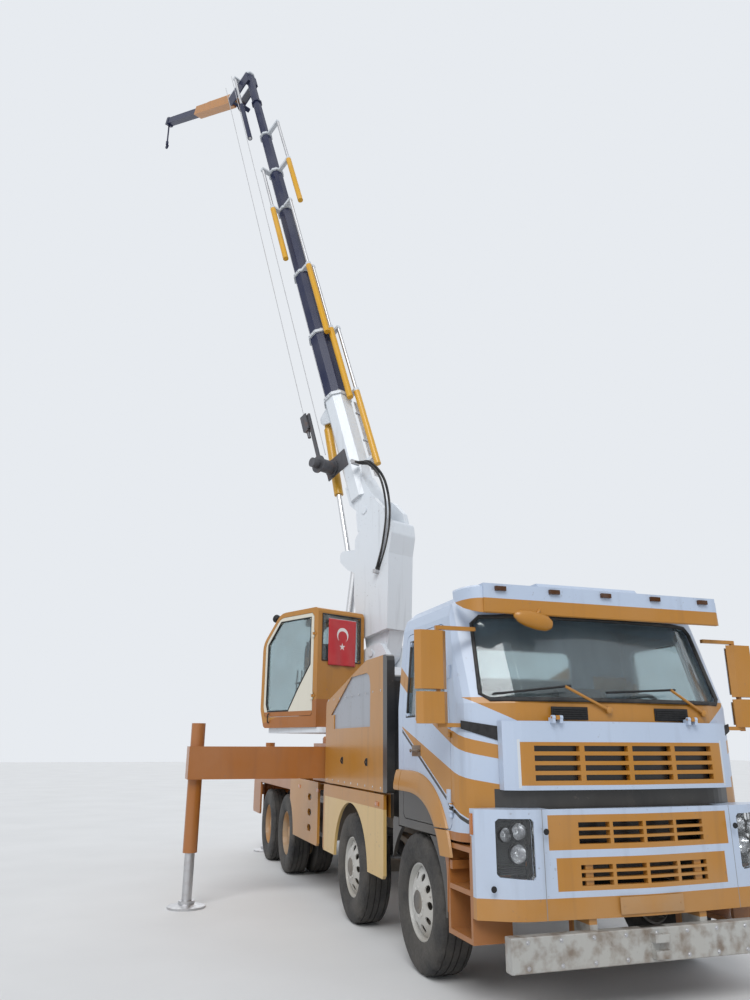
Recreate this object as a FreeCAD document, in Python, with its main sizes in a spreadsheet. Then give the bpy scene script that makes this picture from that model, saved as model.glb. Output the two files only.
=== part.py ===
import FreeCAD, Part
import math
import os
import re
from types import SimpleNamespace
from FreeCAD import Placement, Rotation, Vector

# Truck-mounted crane with four axles, an operator's cab that slews with the crane, a two-part knuckle
# boom with six telescopic sections and a small jib. Millimetres; X forward, Y left, Z up.
# Names ending in _x, _y and _z are places in the truck's own frame: ground under the first axle.

SIZES = (
    # row frame: where the origin of the whole lies in the truck's own frame
    ("origin_x", -5720), ("origin_y", -510),
    # wheels and axles
    ("axle_1_x", 0), ("axle_2_x", -1940), ("axle_3_x", -5270), ("axle_4_x", -6640),
    ("tyre_radius", 520), ("tyre_width", 300), ("twin_width", 285), ("twin_gap", 60),
    ("rim_radius", 286), ("rim_wall", 20), ("track_outer", 1240), ("kingpin_y", 905),
    ("kingpin_radius", 25), ("pin_clearance", 0.1), ("spindle_radius", 40), ("hub_radius", 120),
    ("running_gap", 0.4), ("beam_width", 110), ("beam_height", 110),
    # chassis
    ("frame_front", 1150), ("frame_rear", -7950), ("frame_top", 1080), ("rail_height", 300),
    ("rail_y", 425), ("rail_flange", 90), ("rail_wall", 9), ("spring_width", 90), ("spring_height", 70),
    # truck cab
    ("cab_front", 1230), ("cab_rear", -400), ("cab_half", 1245), ("cab_bottom", 1060),
    ("scuttle_z", 2030), ("header_z", 2740), ("roof_z", 2930), ("cab_wall", 55), ("panel_gap", 6),
    ("hinge_eye", 15), ("hinge_room", 5), ("rail_room", 5),
    ("door_front", 770), ("door_rear", -290), ("door_bottom", 1125), ("door_top", 2690),
    ("sill_z", 1960), ("glass_wall", 8),
    # front panels
    ("lid_bottom", 1420), ("lid_top", 1900), ("lid_wall", 45), ("bumper_bottom", 600),
    ("bumper_top", 1300), ("bumper_front", 1370), ("bumper_rear", 1075), ("bumper_wall", 50),
    ("bar_bottom", 320), ("bar_height", 210), ("bar_half", 1120), ("bar_depth", 90),
    # side panels
    ("panel_y", 1245), ("panel_wall", 30), ("arch_radius", 620), ("skirt_bottom", 560),
    ("skirt_top", 1280), ("tower_front", -710), ("tower_rear", -3000), ("tower_wall", 80),
    ("tower_top", 2570), ("tower_slope_top", 2270), ("tower_bottom", 1300), ("deck_z", 1250),
    # crane base and outriggers
    ("crane_x", -4500), ("slew_angle", 205), ("base_bottom", 1080), ("base_top", 1750),
    ("pedestal_radius", 560), ("ring_radius", 620), ("ring_top", 1830), ("platform_top", 1950),
    ("box_front", -3020), ("box_bottom", 1300), ("box_height", 440), ("box_wall", 20),
    ("beam_box_width", 320), ("beam_box_height", 360), ("beam_wall", 14), ("slide_gap", 0.5),
    ("beam_tip", 2850), ("beam_length", 2500), ("jack_radius", 80), ("jack_rod_radius", 55),
    ("jack_top", 1960), ("jack_bottom", 560), ("foot_radius", 210), ("foot_height", 45),
    # turret, first boom and lift cylinder, in the crane's frame: r along the boom, l left, z up
    ("turret_half", 255), ("ear_wall", 95), ("foot_pin_z", 3000), ("foot_pin_radius", 50),
    ("knuckle_r", 180), ("knuckle_z", 5220), ("lift_base_r", 1050), ("lift_base_z", 2150),
    ("lift_eye_r", 660), ("lift_eye_z", 4420), ("lift_radius", 105), ("lift_rod_radius", 65),
    ("eye_half", 55), ("ear_room", 7),
    ("lift_barrel_length", 1250),
    # operator's cab, in the crane's frame
    ("op_rear", 110), ("op_length", 1310), ("op_right", 300), ("op_width", 870), ("op_bottom", 1950),
    ("op_height", 1640), ("op_wall", 40),
    # second boom and its sections: u along the boom, w towards its back, from the knuckle pin
    ("boom_angle", 70), ("boom_w", -167), ("boom_start", 350), ("boom_head", 2530),
    ("boom_half", 210), ("boom_step", 20), ("boom_gap", 0.5), ("head_thick", 60),
    ("overlap", 420), ("stage_1", 1550), ("stage_2", 1710), ("stage_3", 2040), ("stage_4", 1350),
    ("stage_5", 1430), ("stage_6", 2660), ("barrel_radius", 55), ("barrel_bore", 37),
    ("barrel_rod", 32), ("bend_u", -345), ("bend_w", -807), ("bend_barrel_length", 1480),
    ("tip_collar", 12040),
    ("bend_head_u", 2280), ("bend_head_w", -530), ("bend_radius", 78), ("bend_rod_radius", 45),
    # jib, from the tip of the last section
    ("jib_pin_u", 13150), ("jib_pin_w", -830), ("jib_angle", 27), ("jib_half", 115),
    ("jib_length", 2150), ("jib_ext_half", 85), ("jib_reach", 2000), ("hook_drop", 850),
)

doc = FreeCAD.newDocument("MobileCrane")
sheet = doc.addObject("Spreadsheet::Sheet", "Sizes")
for row, (alias, value) in enumerate(SIZES, start=1):
    sheet.set(f"A{row}", str(value))
    sheet.setAlias(f"A{row}", alias)
doc.recompute()
s = SimpleNamespace(**{alias: float(sheet.get(alias)) for alias, value in SIZES})

SIDES = (("left", 1), ("right", -1))
AXES = {"X": Rotation(Vector(0, 0, 1), Vector(1, 0, 0)), "Y": Rotation(Vector(0, 0, 1), Vector(0, 1, 0)),
        "Z": Rotation()}
NODES = []


def bound(text):
    """A formula with each alias of the sheet turned into a reference to its cell."""
    known = vars(s)
    return re.sub(r"[A-Za-z_]\w*", lambda m: f"Sizes.{m[0]}" if m[0] in known else m[0], str(text))


def place(obj, at):
    for axis, text in zip("xyz", at):
        obj.setExpression(f"Placement.Base.{axis}", bound(text))


def box(name, size, at):
    """A block with its low corner at a place; sizes and places are formulas."""
    obj = doc.addObject("Part::Box", name)
    for side, text in zip(("Length", "Width", "Height"), size):
        obj.setExpression(side, bound(text))
    place(obj, at)
    return obj


def rod(name, radius, length, at, axis="Z"):
    """A round bar that starts at a place and runs along an axis."""
    obj = doc.addObject("Part::Cylinder", name)
    obj.Placement = Placement(Vector(), AXES[axis])
    obj.setExpression("Radius", bound(radius))
    obj.setExpression("Height", bound(length))
    place(obj, at)
    return obj


def slanted_rod(name, radius, start, end):
    """A round bar between two points given as numbers."""
    obj = doc.addObject("Part::Cylinder", name)
    way = Vector(*end) - Vector(*start)
    obj.setExpression("Radius", bound(radius))
    obj.Height = way.Length
    obj.Placement = Placement(Vector(*start), Rotation(Vector(0, 0, 1), way))
    return obj


def rounded(points):
    """Straight edges of a closed outline; a third number in a point rounds that corner in facets."""
    count = len(points)
    corners = []
    for i, point in enumerate(points):
        here = Vector(point[0], point[1], 0)
        if len(point) < 3:
            corners.append(here)
            continue
        back = (Vector(*points[i - 1][:2], 0) - here).normalize()
        on = (Vector(*points[(i + 1) % count][:2], 0) - here).normalize()
        half = back.getAngle(on) / 2
        reach = point[2] / math.tan(half)
        middle = here + (back + on).normalize() * (point[2] / math.sin(half) - point[2])
        facets = 1 + sum(point[2] > limit for limit in (50, 150, 600, 1000))
        corners += Part.Arc(here + back * reach, middle, here + on * reach).discretize(facets + 1)
    kept = [p for i, p in enumerate(corners) if (p - corners[i - 1]).Length > 0.001]
    return [Part.LineSegment(kept[i - 1], p) for i, p in enumerate(kept)]


def pad(name, points, plane, start, length):
    """A body padded from a sketched outline: plane XZ runs along +Y, YZ along +X, XY along +Z."""
    body = doc.addObject("PartDesign::Body", name)
    sketch = body.newObject("Sketcher::SketchObject", f"{name}_sketch")
    base = next(f for f in body.Origin.OriginFeatures if f.Role == f"{plane}_Plane")
    sketch.AttachmentSupport = [(base, "")]
    sketch.MapMode = "FlatFace"
    sign = "-" if plane == "XZ" else ""
    sketch.setExpression("AttachmentOffset.Base.z", f"{sign}({bound(start)})")
    sketch.addGeometry(rounded(points), False)
    feature = body.newObject("PartDesign::Pad", f"{name}_pad")
    feature.Profile = sketch
    feature.Reversed = plane == "XZ"
    feature.setExpression("Length", bound(length))
    sketch.Visibility = False
    return body


def turned(name, points, axis="Y", at=(0, 0, 0), count=36):
    """A faceted solid of revolution: points are (radius, distance along the axis)."""
    def spot(point, k):
        turn = 2 * math.pi * k / count
        return Vector(point[0] * math.sin(turn), point[1], -point[0] * math.cos(turn))
    faces = []
    for i, point in enumerate(points):
        for k in range(count):
            ring = [spot(points[i - 1], k), spot(point, k), spot(point, k + 1), spot(points[i - 1], k + 1)]
            kept = [v for j, v in enumerate(ring) if (v - ring[j - 1]).Length > 0.001]
            if len(kept) > 2:
                faces.append(Part.Face(Part.makePolygon(kept + [kept[0]])))
    solid = Part.makeSolid(Part.makeShell(faces))
    if solid.Volume < 0:
        solid.reverse()
    turn = {"Y": Rotation(), "Z": Rotation(Vector(1, 0, 0), 90), "X": Rotation(Vector(0, 0, 1), -90)}[axis]
    obj = doc.addObject("Part::Feature", name)
    obj.Shape = solid
    obj.Placement = Placement(Vector(*at), turn)
    return obj


def feature(name, shape):
    obj = doc.addObject("Part::Feature", name)
    obj.Shape = shape
    return obj


def fuse(name, parts):
    obj = doc.addObject("Part::MultiFuse", name)
    obj.Shapes = parts
    obj.Refine = True
    return obj


def cut(name, base, tools):
    tool = tools[0] if len(tools) == 1 else fuse(f"{name}_tools", tools)
    obj = doc.addObject("Part::Cut", name)
    obj.Base = base
    obj.Tool = tool
    return obj


def common(name, base, tool):
    obj = doc.addObject("Part::Common", name)
    obj.Base = base
    obj.Tool = tool
    return obj


TRUCK = Placement(Vector(-s.origin_x, -s.origin_y, 0), Rotation())
CRANE = TRUCK * Placement(Vector(s.crane_x, 0, 0), Rotation(Vector(0, 0, 1), s.slew_angle))
BOOM = CRANE * Placement(Vector(s.knuckle_r, 0, s.knuckle_z), Rotation(Vector(0, 1, 0), -s.boom_angle))
JIB = BOOM * Placement(Vector(s.jib_pin_u, 0, s.jib_pin_w),
                       Rotation(Vector(0, 1, 0), s.boom_angle - s.jib_angle))


def node(label, obj, frame=TRUCK):
    obj.Label = label
    obj.Placement = frame * obj.Placement if isinstance(obj,
            Part.Feature) and obj.TypeId == "Part::Feature" else frame
    NODES.append(obj)
    return obj


# Chassis: two channel rails, crossmembers and a tank on each side
def chassis():
    low = s.frame_top - s.rail_height
    inner = s.rail_y - s.rail_flange
    web = s.rail_y - s.rail_wall
    parts = []
    for side, sign in SIDES:
        outline = [(sign * y, z) for y, z in (
            (s.rail_y, low), (s.rail_y, s.frame_top), (inner, s.frame_top),
            (inner, s.frame_top - s.rail_wall),
            (web, s.frame_top - s.rail_wall), (web, low + s.rail_wall), (inner, low + s.rail_wall),
            (inner, low))]
        parts.append(pad(f"rail_{side}", outline, "YZ", "frame_rear", "frame_front - frame_rear"))
        tank = [(sign * s.rail_y, 600), (sign * 1130, 600, 90), (sign * 1130, 1050, 90),
                (sign * s.rail_y, 1050)]
        parts.append(pad(f"tank_{side}", tank, "YZ", -4560, 1100))
    for i, x in enumerate((1010, -1150, -2450, -3500, -4300, -5800, -7250, -7860)):
        parts.append(box(f"crossmember_{i + 1}", (90, "2 * (rail_y - rail_wall)", "rail_height - 60"),
                         (x, "rail_wall - rail_y", "frame_top - rail_height + 30")))
    node("chassis_frame", fuse("chassis_frame", parts))


# Axles: dropped front beams with kingpin bosses, rear housings, and leaf springs up to the rails
def axles():
    parts = []
    rail_low = s.frame_top - s.rail_height
    hub_z = s.tyre_radius
    half = s.kingpin_y
    spring_y = s.rail_y - s.spring_width
    for i, x in ((1, s.axle_1_x), (2, s.axle_2_x)):
        top = hub_z + s.beam_height / 2
        drop = 70
        outline = [(-half, top - s.beam_height), (-half, top), (-620, top, 60), (-520, top - drop, 60),
                   (520, top - drop, 60), (620, top, 60), (half, top), (half, top - s.beam_height),
                   (600, top - s.beam_height, 60), (500, top - s.beam_height - drop, 60),
                   (-500, top - s.beam_height - drop, 60), (-600, top - s.beam_height, 60)]
        beam = pad(f"beam_{i}", outline, "YZ", f"axle_{i}_x - beam_width / 2", "beam_width")
        pieces = [beam]
        for side, sign in SIDES:
            pieces.append(rod(f"boss_{i}_{side}", "kingpin_radius + 30", "beam_height + 60",
                              (f"axle_{i}_x", f"{sign} * kingpin_y", "tyre_radius - beam_height / 2 - 30")))
            pieces.append(box(f"seat_{i}_{side}", (180, "spring_width", 120),
                              (f"axle_{i}_x - 90", f"{sign} * (rail_y - spring_width / 2) - spring_width / 2",
                               "tyre_radius - 40")))
            pieces.append(spring(f"spring_{i}_{side}", x, sign, 600, 760))
        holes = [rod(f"kingpin_bore_{i}_{side}", "kingpin_radius", "beam_height + 200",
                     (f"axle_{i}_x", f"{sign} * kingpin_y", "tyre_radius - beam_height / 2 - 100"))
                 for side, sign in SIDES]
        parts.append(cut(f"front_axle_{i}", fuse(f"front_axle_{i}_solid", pieces), holes))
    pieces = []
    for i in (3, 4):
        pieces.append(turned(f"housing_{i}", [(0, -590), (85, -590), (85, 590), (0, 590)], "Y",
                             (getattr(s, f"axle_{i}_x"), 0, hub_z), 12))
        pieces.append(rod(f"spindle_{i}", "spindle_radius", "2 * (track_outer - twin_width / 2 + 14)",
                          (f"axle_{i}_x", "twin_width / 2 - 14 - track_outer", "tyre_radius"), "Y"))
        pieces.append(turned(f"differential_{i}", [(0, -170), (120, -170), (205, -60), (205, 60),
                                                   (120, 170), (0, 170)],
                             "Y", (getattr(s, f"axle_{i}_x"), 0, hub_z), 16))
        for side, sign in SIDES:
            pieces.append(box(f"pad_{i}_{side}", (170, "spring_width", 120),
                              (f"axle_{i}_x - 85", f"{sign} * (rail_y - spring_width / 2) - spring_width / 2",
                               "tyre_radius + 30")))
    for side, sign in SIDES:
        middle = (s.axle_3_x + s.axle_4_x) / 2
        outline = [(middle - 800, 640), (middle + 800, 640), (middle + 800, 690), (middle + 300, 735, 300),
                   (middle + 120, rail_low), (middle - 120, rail_low), (middle - 300, 735, 300),
                   (middle - 800, 690)]
        pieces.append(pad(f"bogie_spring_{side}", outline, "XZ",
                          f"{sign} * (rail_y - spring_width / 2) - spring_width / 2", "spring_width"))
    parts.append(fuse("rear_axles", pieces))
    node("axles", fuse("axles", parts))


def spring(name, x, sign, low, reach):
    """A leaf pack over an axle, with a hanger up to the rail at each end."""
    rail_low = s.frame_top - s.rail_height
    outline = [(x - reach, rail_low), (x - reach, low + 90, 20), (x - 120, low), (x + 120, low),
               (x + reach, low + 90, 20), (x + reach, rail_low), (x + reach - 70, rail_low),
               (x + reach - 70, low + 140), (x + 120, low + s.spring_height),
               (x - 120, low + s.spring_height),
               (x - reach + 70, low + 140), (x - reach + 70, rail_low)]
    return pad(name, outline, "XZ", f"{sign} * (rail_y - spring_width / 2) - spring_width / 2",
               "spring_width")


# Knuckle: a fork over the beam's end, its kingpin and the spindle that the wheel runs on
def knuckles():
    for i in (1, 2):
        for side, sign in SIDES:
            x = f"axle_{i}_x"
            low_arm = box(f"fork_low_{i}_{side}", (110, 125, 40),
                          (f"{x} - 55", f"{sign} * kingpin_y - 62.5 + {sign} * 12",
                           "tyre_radius - beam_height / 2 - 75"))
            high_arm = box(f"fork_high_{i}_{side}", (110, 125, 40),
                           (f"{x} - 55", f"{sign} * kingpin_y - 62.5 + {sign} * 12",
                            "tyre_radius + beam_height / 2 + 35"))
            plate = box(f"flange_{i}_{side}", (150, 30, "beam_height + 150"),
                        (f"{x} - 75", f"{sign} * (kingpin_y + 78) - 15",
                         "tyre_radius - beam_height / 2 - 75"))
            pin = rod(f"kingpin_{i}_{side}", "kingpin_radius - pin_clearance", "beam_height + 150",
                      (x, f"{sign} * kingpin_y", "tyre_radius - beam_height / 2 - 75"))
            start = f"{sign} * (kingpin_y + 78)" if sign > 0 else "40 - track_outer"
            spindle = rod(f"stub_{i}_{side}", "spindle_radius", "track_outer - 40 - kingpin_y - 78",
                          (x, start, "tyre_radius"), "Y")
            arm = box(f"track_arm_{i}_{side}", (200, 30, 25),
                      (f"{x} - 240", f"{sign} * (kingpin_y + 20) - 15", "tyre_radius - beam_height / 2 - 75"))
            node(f"knuckle_{i}_{side}", fuse(f"knuckle_{i}_{side}",
                                             [low_arm, high_arm, plate, pin, spindle, arm]))


def tyre_outline(outer, inner, width):
    """A tyre's section as (radius, distance): bead, walls, shoulders and tread."""
    w = width / 2
    return [(inner, -w + 35), (outer - 110, -w), (outer, -w + 40), (outer, w - 40), (outer - 110, w),
            (inner, w - 35)]


def wheels():
    for i in (1, 2):
        x = getattr(s, f"axle_{i}_x")
        for side, sign in SIDES:
            y = sign * (s.track_outer - s.tyre_width / 2)
            node(f"tyre_{i}_{side}", turned(f"tyre_{i}_{side}",
                                            tyre_outline(s.tyre_radius, s.rim_radius, s.tyre_width),
                                            "Y", (x, y, s.tyre_radius)))
            node(f"rim_{i}_{side}", front_rim(f"rim_{i}_{side}", x, y, sign))
    for i in (3, 4):
        x = getattr(s, f"axle_{i}_x")
        for side, sign in SIDES:
            outer_y = sign * (s.track_outer - s.twin_width / 2)
            inner_y = outer_y - sign * (s.twin_width + s.twin_gap)
            outline = tyre_outline(s.tyre_radius, s.rim_radius, s.twin_width)
            pair = [turned(f"tyre_{i}_{side}_{k}", outline, "Y", (x, y, s.tyre_radius))
                    for k, y in (("outer", outer_y), ("inner", inner_y))]
            node(f"tyres_{i}_{side}", fuse(f"tyres_{i}_{side}", pair))
            node(f"rims_{i}_{side}", rear_rims(f"rims_{i}_{side}", x, outer_y, inner_y, sign))


def front_rim(name, x, y, sign):
    """A single wheel: rim, dished disc near its outer face, and a hub on the spindle."""
    r, t, w = s.rim_radius, s.rim_wall, s.tyre_width / 2
    bore = s.spindle_radius + s.running_gap
    barrel = [(r, -w + 38), (r, w - 38), (r - t, w - 38), (r - t, -w + 38)]
    disc = [(r - t + 4, w - 95), (r - t + 4, w - 75), (s.hub_radius, w - 15), (s.hub_radius - 20, w - 2),
            (0, w - 2), (0, w - 20),
            (bore, w - 20), (bore, 60 - w), (s.hub_radius - 30, 60 - w), (s.hub_radius - 10, w - 35)]
    parts = [turned(f"{name}_{k}", [(p[0], sign * p[1]) for p in outline], "Y", (x, y, s.tyre_radius))
             for k, outline in (("barrel", barrel), ("disc", disc))]
    return fuse(name, parts)


def rear_rims(name, x, outer_y, inner_y, sign):
    """Twin wheels: two rims whose dished discs meet between them, on one hub."""
    r, t, w = s.rim_radius, s.rim_wall, s.twin_width / 2
    gap = s.twin_width + s.twin_gap
    meet = -gap / 2
    bore = s.spindle_radius + s.running_gap
    barrels = [[(r, at - w + 38), (r, at + w - 38), (r - t, at + w - 38),
                (r - t, at - w + 38)] for at in (0, -gap)]
    disc = [(r - t + 4, -w + 80), (s.hub_radius + 60, meet + 14), (s.hub_radius, meet + 14),
            (s.hub_radius - 5, 20),
            (s.hub_radius - 35, 40), (0, 40), (0, 20), (bore, 20), (bore, meet - 150),
            (s.hub_radius + 10, meet - 150),
            (s.hub_radius + 10, meet - 14), (s.hub_radius + 60, meet - 14), (r - t + 4, -gap + w - 80),
            (r - t + 4, -gap + w - 60), (s.hub_radius + 80, meet), (r - t + 4, -w + 60)]
    parts = [turned(f"{name}_{k}", [(p[0], sign * p[1]) for p in outline], "Y", (x, outer_y, s.tyre_radius))
             for k, outline in (("outer", barrels[0]), ("inner", barrels[1]), ("disc", disc))]
    return fuse(name, parts)


# Engine: one plain block between the rails, with the radiator in front of it
def engine():
    block = box("engine_block", (1450, 620, 430), (-740, -310, 600))
    shroud = box("fan_shroud", (150, 360, 260), (700, -180, 700))
    radiator = box("radiator", (90, 640, 380), (840, -320, 660))
    mounts = [box(f"engine_mount_{i}", (80, "2 * (rail_y - rail_wall)", 80), (x, "rail_wall - rail_y", 860))
              for i, x in enumerate((-500, 400, 845))]
    node("engine", fuse("engine", [block, shroud, radiator, *mounts]))


def plan(front, half, rear, z, inset=0.0):
    """A face with the cab's outline seen from above: straight sides, round corners, bowed front."""
    front, half, rear = front - inset, half - inset, rear + inset
    points = [(rear, -half), (front - 300, -half, 180), (front - 70, -half + 400, 420), (front, 0, 2600),
              (front - 70, half - 400, 420), (front - 300, half, 180), (rear, half)]
    wire = Part.Wire([edge.toShape() for edge in rounded(points)])
    wire.translate(Vector(0, 0, z))
    return Part.Face(wire)


def prism(points, plane, start, length):
    """A plain solid swept from an outline: XZ runs along +Y, YZ along +X."""
    turn = {"XZ": Rotation(Vector(1, 0, 0), 90), "YZ": Rotation(Vector(1, 1, 1), 120)}[plane]
    face = Part.Face(Part.Wire([edge.toShape() for edge in rounded(points)]))
    face.Placement = Placement(Vector(), turn)
    way = Vector(0, 1, 0) if plane == "XZ" else Vector(1, 0, 0)
    face.translate(way * start)
    return face.extrude(way * length)


def cab_solid(inset):
    """The cab down to a depth below its outer face: upright below the screen, leaning above it."""
    d = inset
    lean = 280 / (s.header_z - s.scuttle_z)
    low, high = s.cab_bottom + d, s.roof_z - d
    lower = plan(s.cab_front, s.cab_half, -1500, low, d).extrude(Vector(0, 0, s.scuttle_z - low))
    upper = plan(s.cab_front, s.cab_half, -1500, s.scuttle_z, d)
    upper = upper.extrude(Vector(-lean * (high - s.scuttle_z), 0, high - s.scuttle_z))
    edge = s.cab_front + 3 - d
    side = [(s.cab_rear + d, low - 1), (edge + lean * (s.scuttle_z - low + 1), low - 1),
            (edge - lean * (high - s.scuttle_z), high, 190 - d), (s.cab_rear + d, high, 110 - d)]
    h = s.cab_half - d
    face = [(-h - 1, low - 1), (h + 1, low - 1), (h + 1, s.scuttle_z, 900), (h - 75, high, 210 - d),
            (75 - h, high, 210 - d), (-h - 1, s.scuttle_z, 900)]
    solid = lower.fuse(upper).removeSplitter()
    return solid.common(prism(side, "XZ", -1500, 3000)).common(prism(face, "YZ", -1600, 4000))


def door_outline(inset):
    """A door seen from the side: its front edge leans with the windscreen pillar."""
    d = inset
    return [(s.door_rear + d, s.door_bottom + d, 40), (s.door_rear + d, s.door_top - d, 70),
            (s.door_front - 190 - d, s.door_top - d, 90), (s.door_front - d, s.sill_z + 20, 60),
            (s.door_front - d, s.door_bottom + d, 40)]


def window_outline(inset=0.0):
    d = inset
    return [(s.door_rear + 90 + d, s.sill_z + d, 40), (s.door_rear + 90 + d, s.door_top - 70 - d, 50),
            (s.door_front - 260 - d, s.door_top - 70 - d, 60), (s.door_front - 90 - d, s.sill_z + 60 + d, 50),
            (s.door_front - 110 - d, s.sill_z + d, 30)]


def screen_outline(inset=0.0):
    d = inset
    return [(-1110 + d, s.scuttle_z + 30 + d, 70), (-1040 + d, s.header_z - 25 - d, 70),
            (1040 - d, s.header_z - 25 - d, 70), (1110 - d, s.scuttle_z + 30 + d, 70)]


def hinge_base(name, x, y, z, reach, depth):
    """The fixed half of an upright hinge: an eye on a strap, with its pin above and below."""
    eye = rod(f"{name}_eye", "hinge_eye", 30, (x, y, z))
    pin = rod(f"{name}_pin", 8, 100, (x, y, z - 35))
    strap = box(f"{name}_strap", (abs(reach), abs(depth), 30), (min(x, x + reach), min(y, y + depth), z))
    return [eye, pin, strap]


def hinge_leaf(name, x, y, z, reach, depth):
    """The moving half: an eye above and one below the fixed one, and the bore through both."""
    parts = []
    for k, low in enumerate((z - 35, z + 35)):
        parts.append(rod(f"{name}_eye_{k}", "hinge_eye", 30, (x, y, low)))
        parts.append(box(f"{name}_strap_{k}", (abs(reach), abs(depth), 30),
                         (min(x, x + reach), min(y, y + depth), low)))
    return parts, rod(f"{name}_bore", "8 + pin_clearance", 140, (x, y, z - 60))


def hinge_pockets(name, x, y, z):
    """Room for an upright hinge: in the frame round the moving eyes, in the leaf round the fixed eye."""
    room = s.hinge_eye + s.hinge_room
    frame = [rod(f"{name}_pocket_{k}", room, 39, (x, y, low)) for k, low in enumerate((z - 40, z + 31))]
    return frame, rod(f"{name}_notch", room, 38, (x, y, z - 4))


def lid_hinge_base():
    """Two arms on the cab's front with pins for the lid."""
    parts = []
    for side, sign in SIDES:
        parts.append(box(f"lid_arm_{side}", (160, 30, 30),
                         (s.cab_front - 110, sign * 600 - 15, s.lid_top + 10)))
        parts.append(rod(f"lid_pin_{side}", 8, 90, (s.cab_front + 32, sign * 600 - 45, s.lid_top + 25), "Y"))
    return parts


def cab():
    outer = cab_solid(0)
    skin = outer.cut(cab_solid(s.cab_wall))
    shell = feature("cab_skin", skin)
    half = s.cab_half + 50
    openings = [pad(f"doorway_{side}", door_outline(0), "XZ", 900 if sign > 0 else -half,
                    half - 900) for side, sign in SIDES]
    openings.append(pad("screen_opening", screen_outline(), "YZ", 500, 900))
    openings.append(pad("rear_window_opening", [(-560, 2150, 60), (560, 2150, 60), (560, 2600, 60),
                                                (-560, 2600, 60)],
                        "YZ", "cab_rear - 50", 200))
    notches = {}
    for side, sign in SIDES:
        low_y = s.rail_y - s.rail_flange - s.rail_room if sign > 0 else -s.rail_y - s.rail_room
        openings.append(box(f"rail_way_{side}", ("cab_front - cab_rear", "rail_flange + 2 * rail_room",
                                                 "frame_top - cab_bottom + rail_room + 50"),
                            ("cab_rear - 50", low_y, "cab_bottom - 50")))
        for z in (1250, 1820):
            pockets, notch = hinge_pockets(f"door_hinge_room_{z}_{side}", s.door_front + 4,
                                           sign * (s.cab_half + 10), z)
            openings += pockets
            notches.setdefault(side, []).append(notch)
    mounts = [box(f"cab_mount_{i}_{side}", (110, 110, "cab_bottom - 860 + 20"), (x, sign * 480 - 55, 860))
              for i, x in ((1, 820), (2, -380)) for side, sign in SIDES]
    hinges = [part for side, sign in SIDES for z in (1250, 1820)
              for part in hinge_base(f"door_hinge_{z}_{side}", s.door_front + 4, sign * (s.cab_half + 10),
                                     z, 50, -12 * sign)]
    hinges += lid_hinge_base()
    node("cab_shell", fuse("cab_shell", [cut("cab_open", shell, openings), *mounts, *hinges]))
    pane = feature("pane_skin", cab_solid(18).cut(cab_solid(18 + s.glass_wall)))
    screens = fuse("glass_tool", [pad("screen_area", screen_outline(0.3), "YZ", 500, 900),
                                  pad("rear_window_area", [(-559.7, 2150.3, 60), (559.7, 2150.3, 60),
                                                           (559.7, 2599.7, 60), (-559.7, 2599.7, 60)],
                                      "YZ", "cab_rear - 50", 200)])
    node("windscreen", common("windscreen", pane, screens))
    for side, sign in SIDES:
        leaf = feature(f"door_skin_{side}", skin)
        area = pad(f"door_area_{side}", door_outline(s.panel_gap), "XZ", 0 if sign > 0 else -half, half)
        window = pad(f"door_window_{side}", window_outline(), "XZ", 0 if sign > 0 else -half, half)
        panel = common(f"door_panel_{side}", leaf, cut(f"door_frame_{side}", area, [window, *notches[side]]))
        knuckles, bores = [], []
        for z in (1250, 1820):
            lugs, bore = hinge_leaf(f"door_knuckle_{z}_{side}", s.door_front + 4, sign * (s.cab_half + 10),
                                    z, -50, -12 * sign)
            knuckles += lugs
            bores.append(bore)
        node(f"door_{side}", cut(f"door_{side}", fuse(f"door_body_{side}", [panel, *knuckles]), bores))


# Inside the cab: dashboard with its steering wheel, and two seats
def cab_interior():
    floor = s.cab_bottom + s.cab_wall
    dash = pad("dashboard", [(800, floor), (980, floor), (1030, 1500, 80), (1020, 1960, 60),
                             (700, 1900, 60), (740, 1600, 60)],
               "XZ", -905, 1810)
    column = slanted_rod("steering_column", 35, (820, 560, 1750), (610, 560, 1990))
    wheel = turned("steering_wheel", [(200, -12), (228, -12), (228, 12), (200, 12)], "Z", (0, 0, 0), 20)
    wheel.Placement = Placement(Vector(610, 560, 1990), Rotation(Vector(0, 1, 0), -41)) * wheel.Placement
    spoke = slanted_rod("wheel_spoke", 16, (610, 345, 1990), (610, 775, 1990))
    parts = [fuse("dash_and_wheel", [dash, column, wheel, spoke])]
    for side, sign in SIDES:
        outline = [(-250, floor), (330, floor), (330, 1440, 20), (400, 1470, 50), (390, 1590, 50),
                   (-90, 1580, 40),
                   (-190, 2250, 50), (-310, 2250, 50), (-250, 1500, 30)]
        parts.append(pad(f"seat_{side}", outline, "XZ", sign * 560 - 260, 520))
    node("cab_interior", fuse("cab_interior", parts))


def front_block(reach, low, high, inset=0.0):
    """The cab's front outline moved outwards by a reach, as a block between two heights."""
    return plan(s.cab_front + reach, s.cab_half + reach, -1500, low, inset).extrude(Vector(0, 0, high - low))


def bumper_skin(depth, wall):
    """A skin that follows the bumper's front at a depth below it."""
    reach = s.bumper_front - s.cab_front
    low, high = s.bumper_bottom, s.bumper_top
    flat = Part.makeBox(4000, 2 * s.panel_y, 2000, Vector(-2000, -s.panel_y, 0))
    outer = front_block(reach, low, high, depth).common(flat)
    return outer.cut(front_block(reach, low - 1, high - wall, depth + wall))


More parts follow.
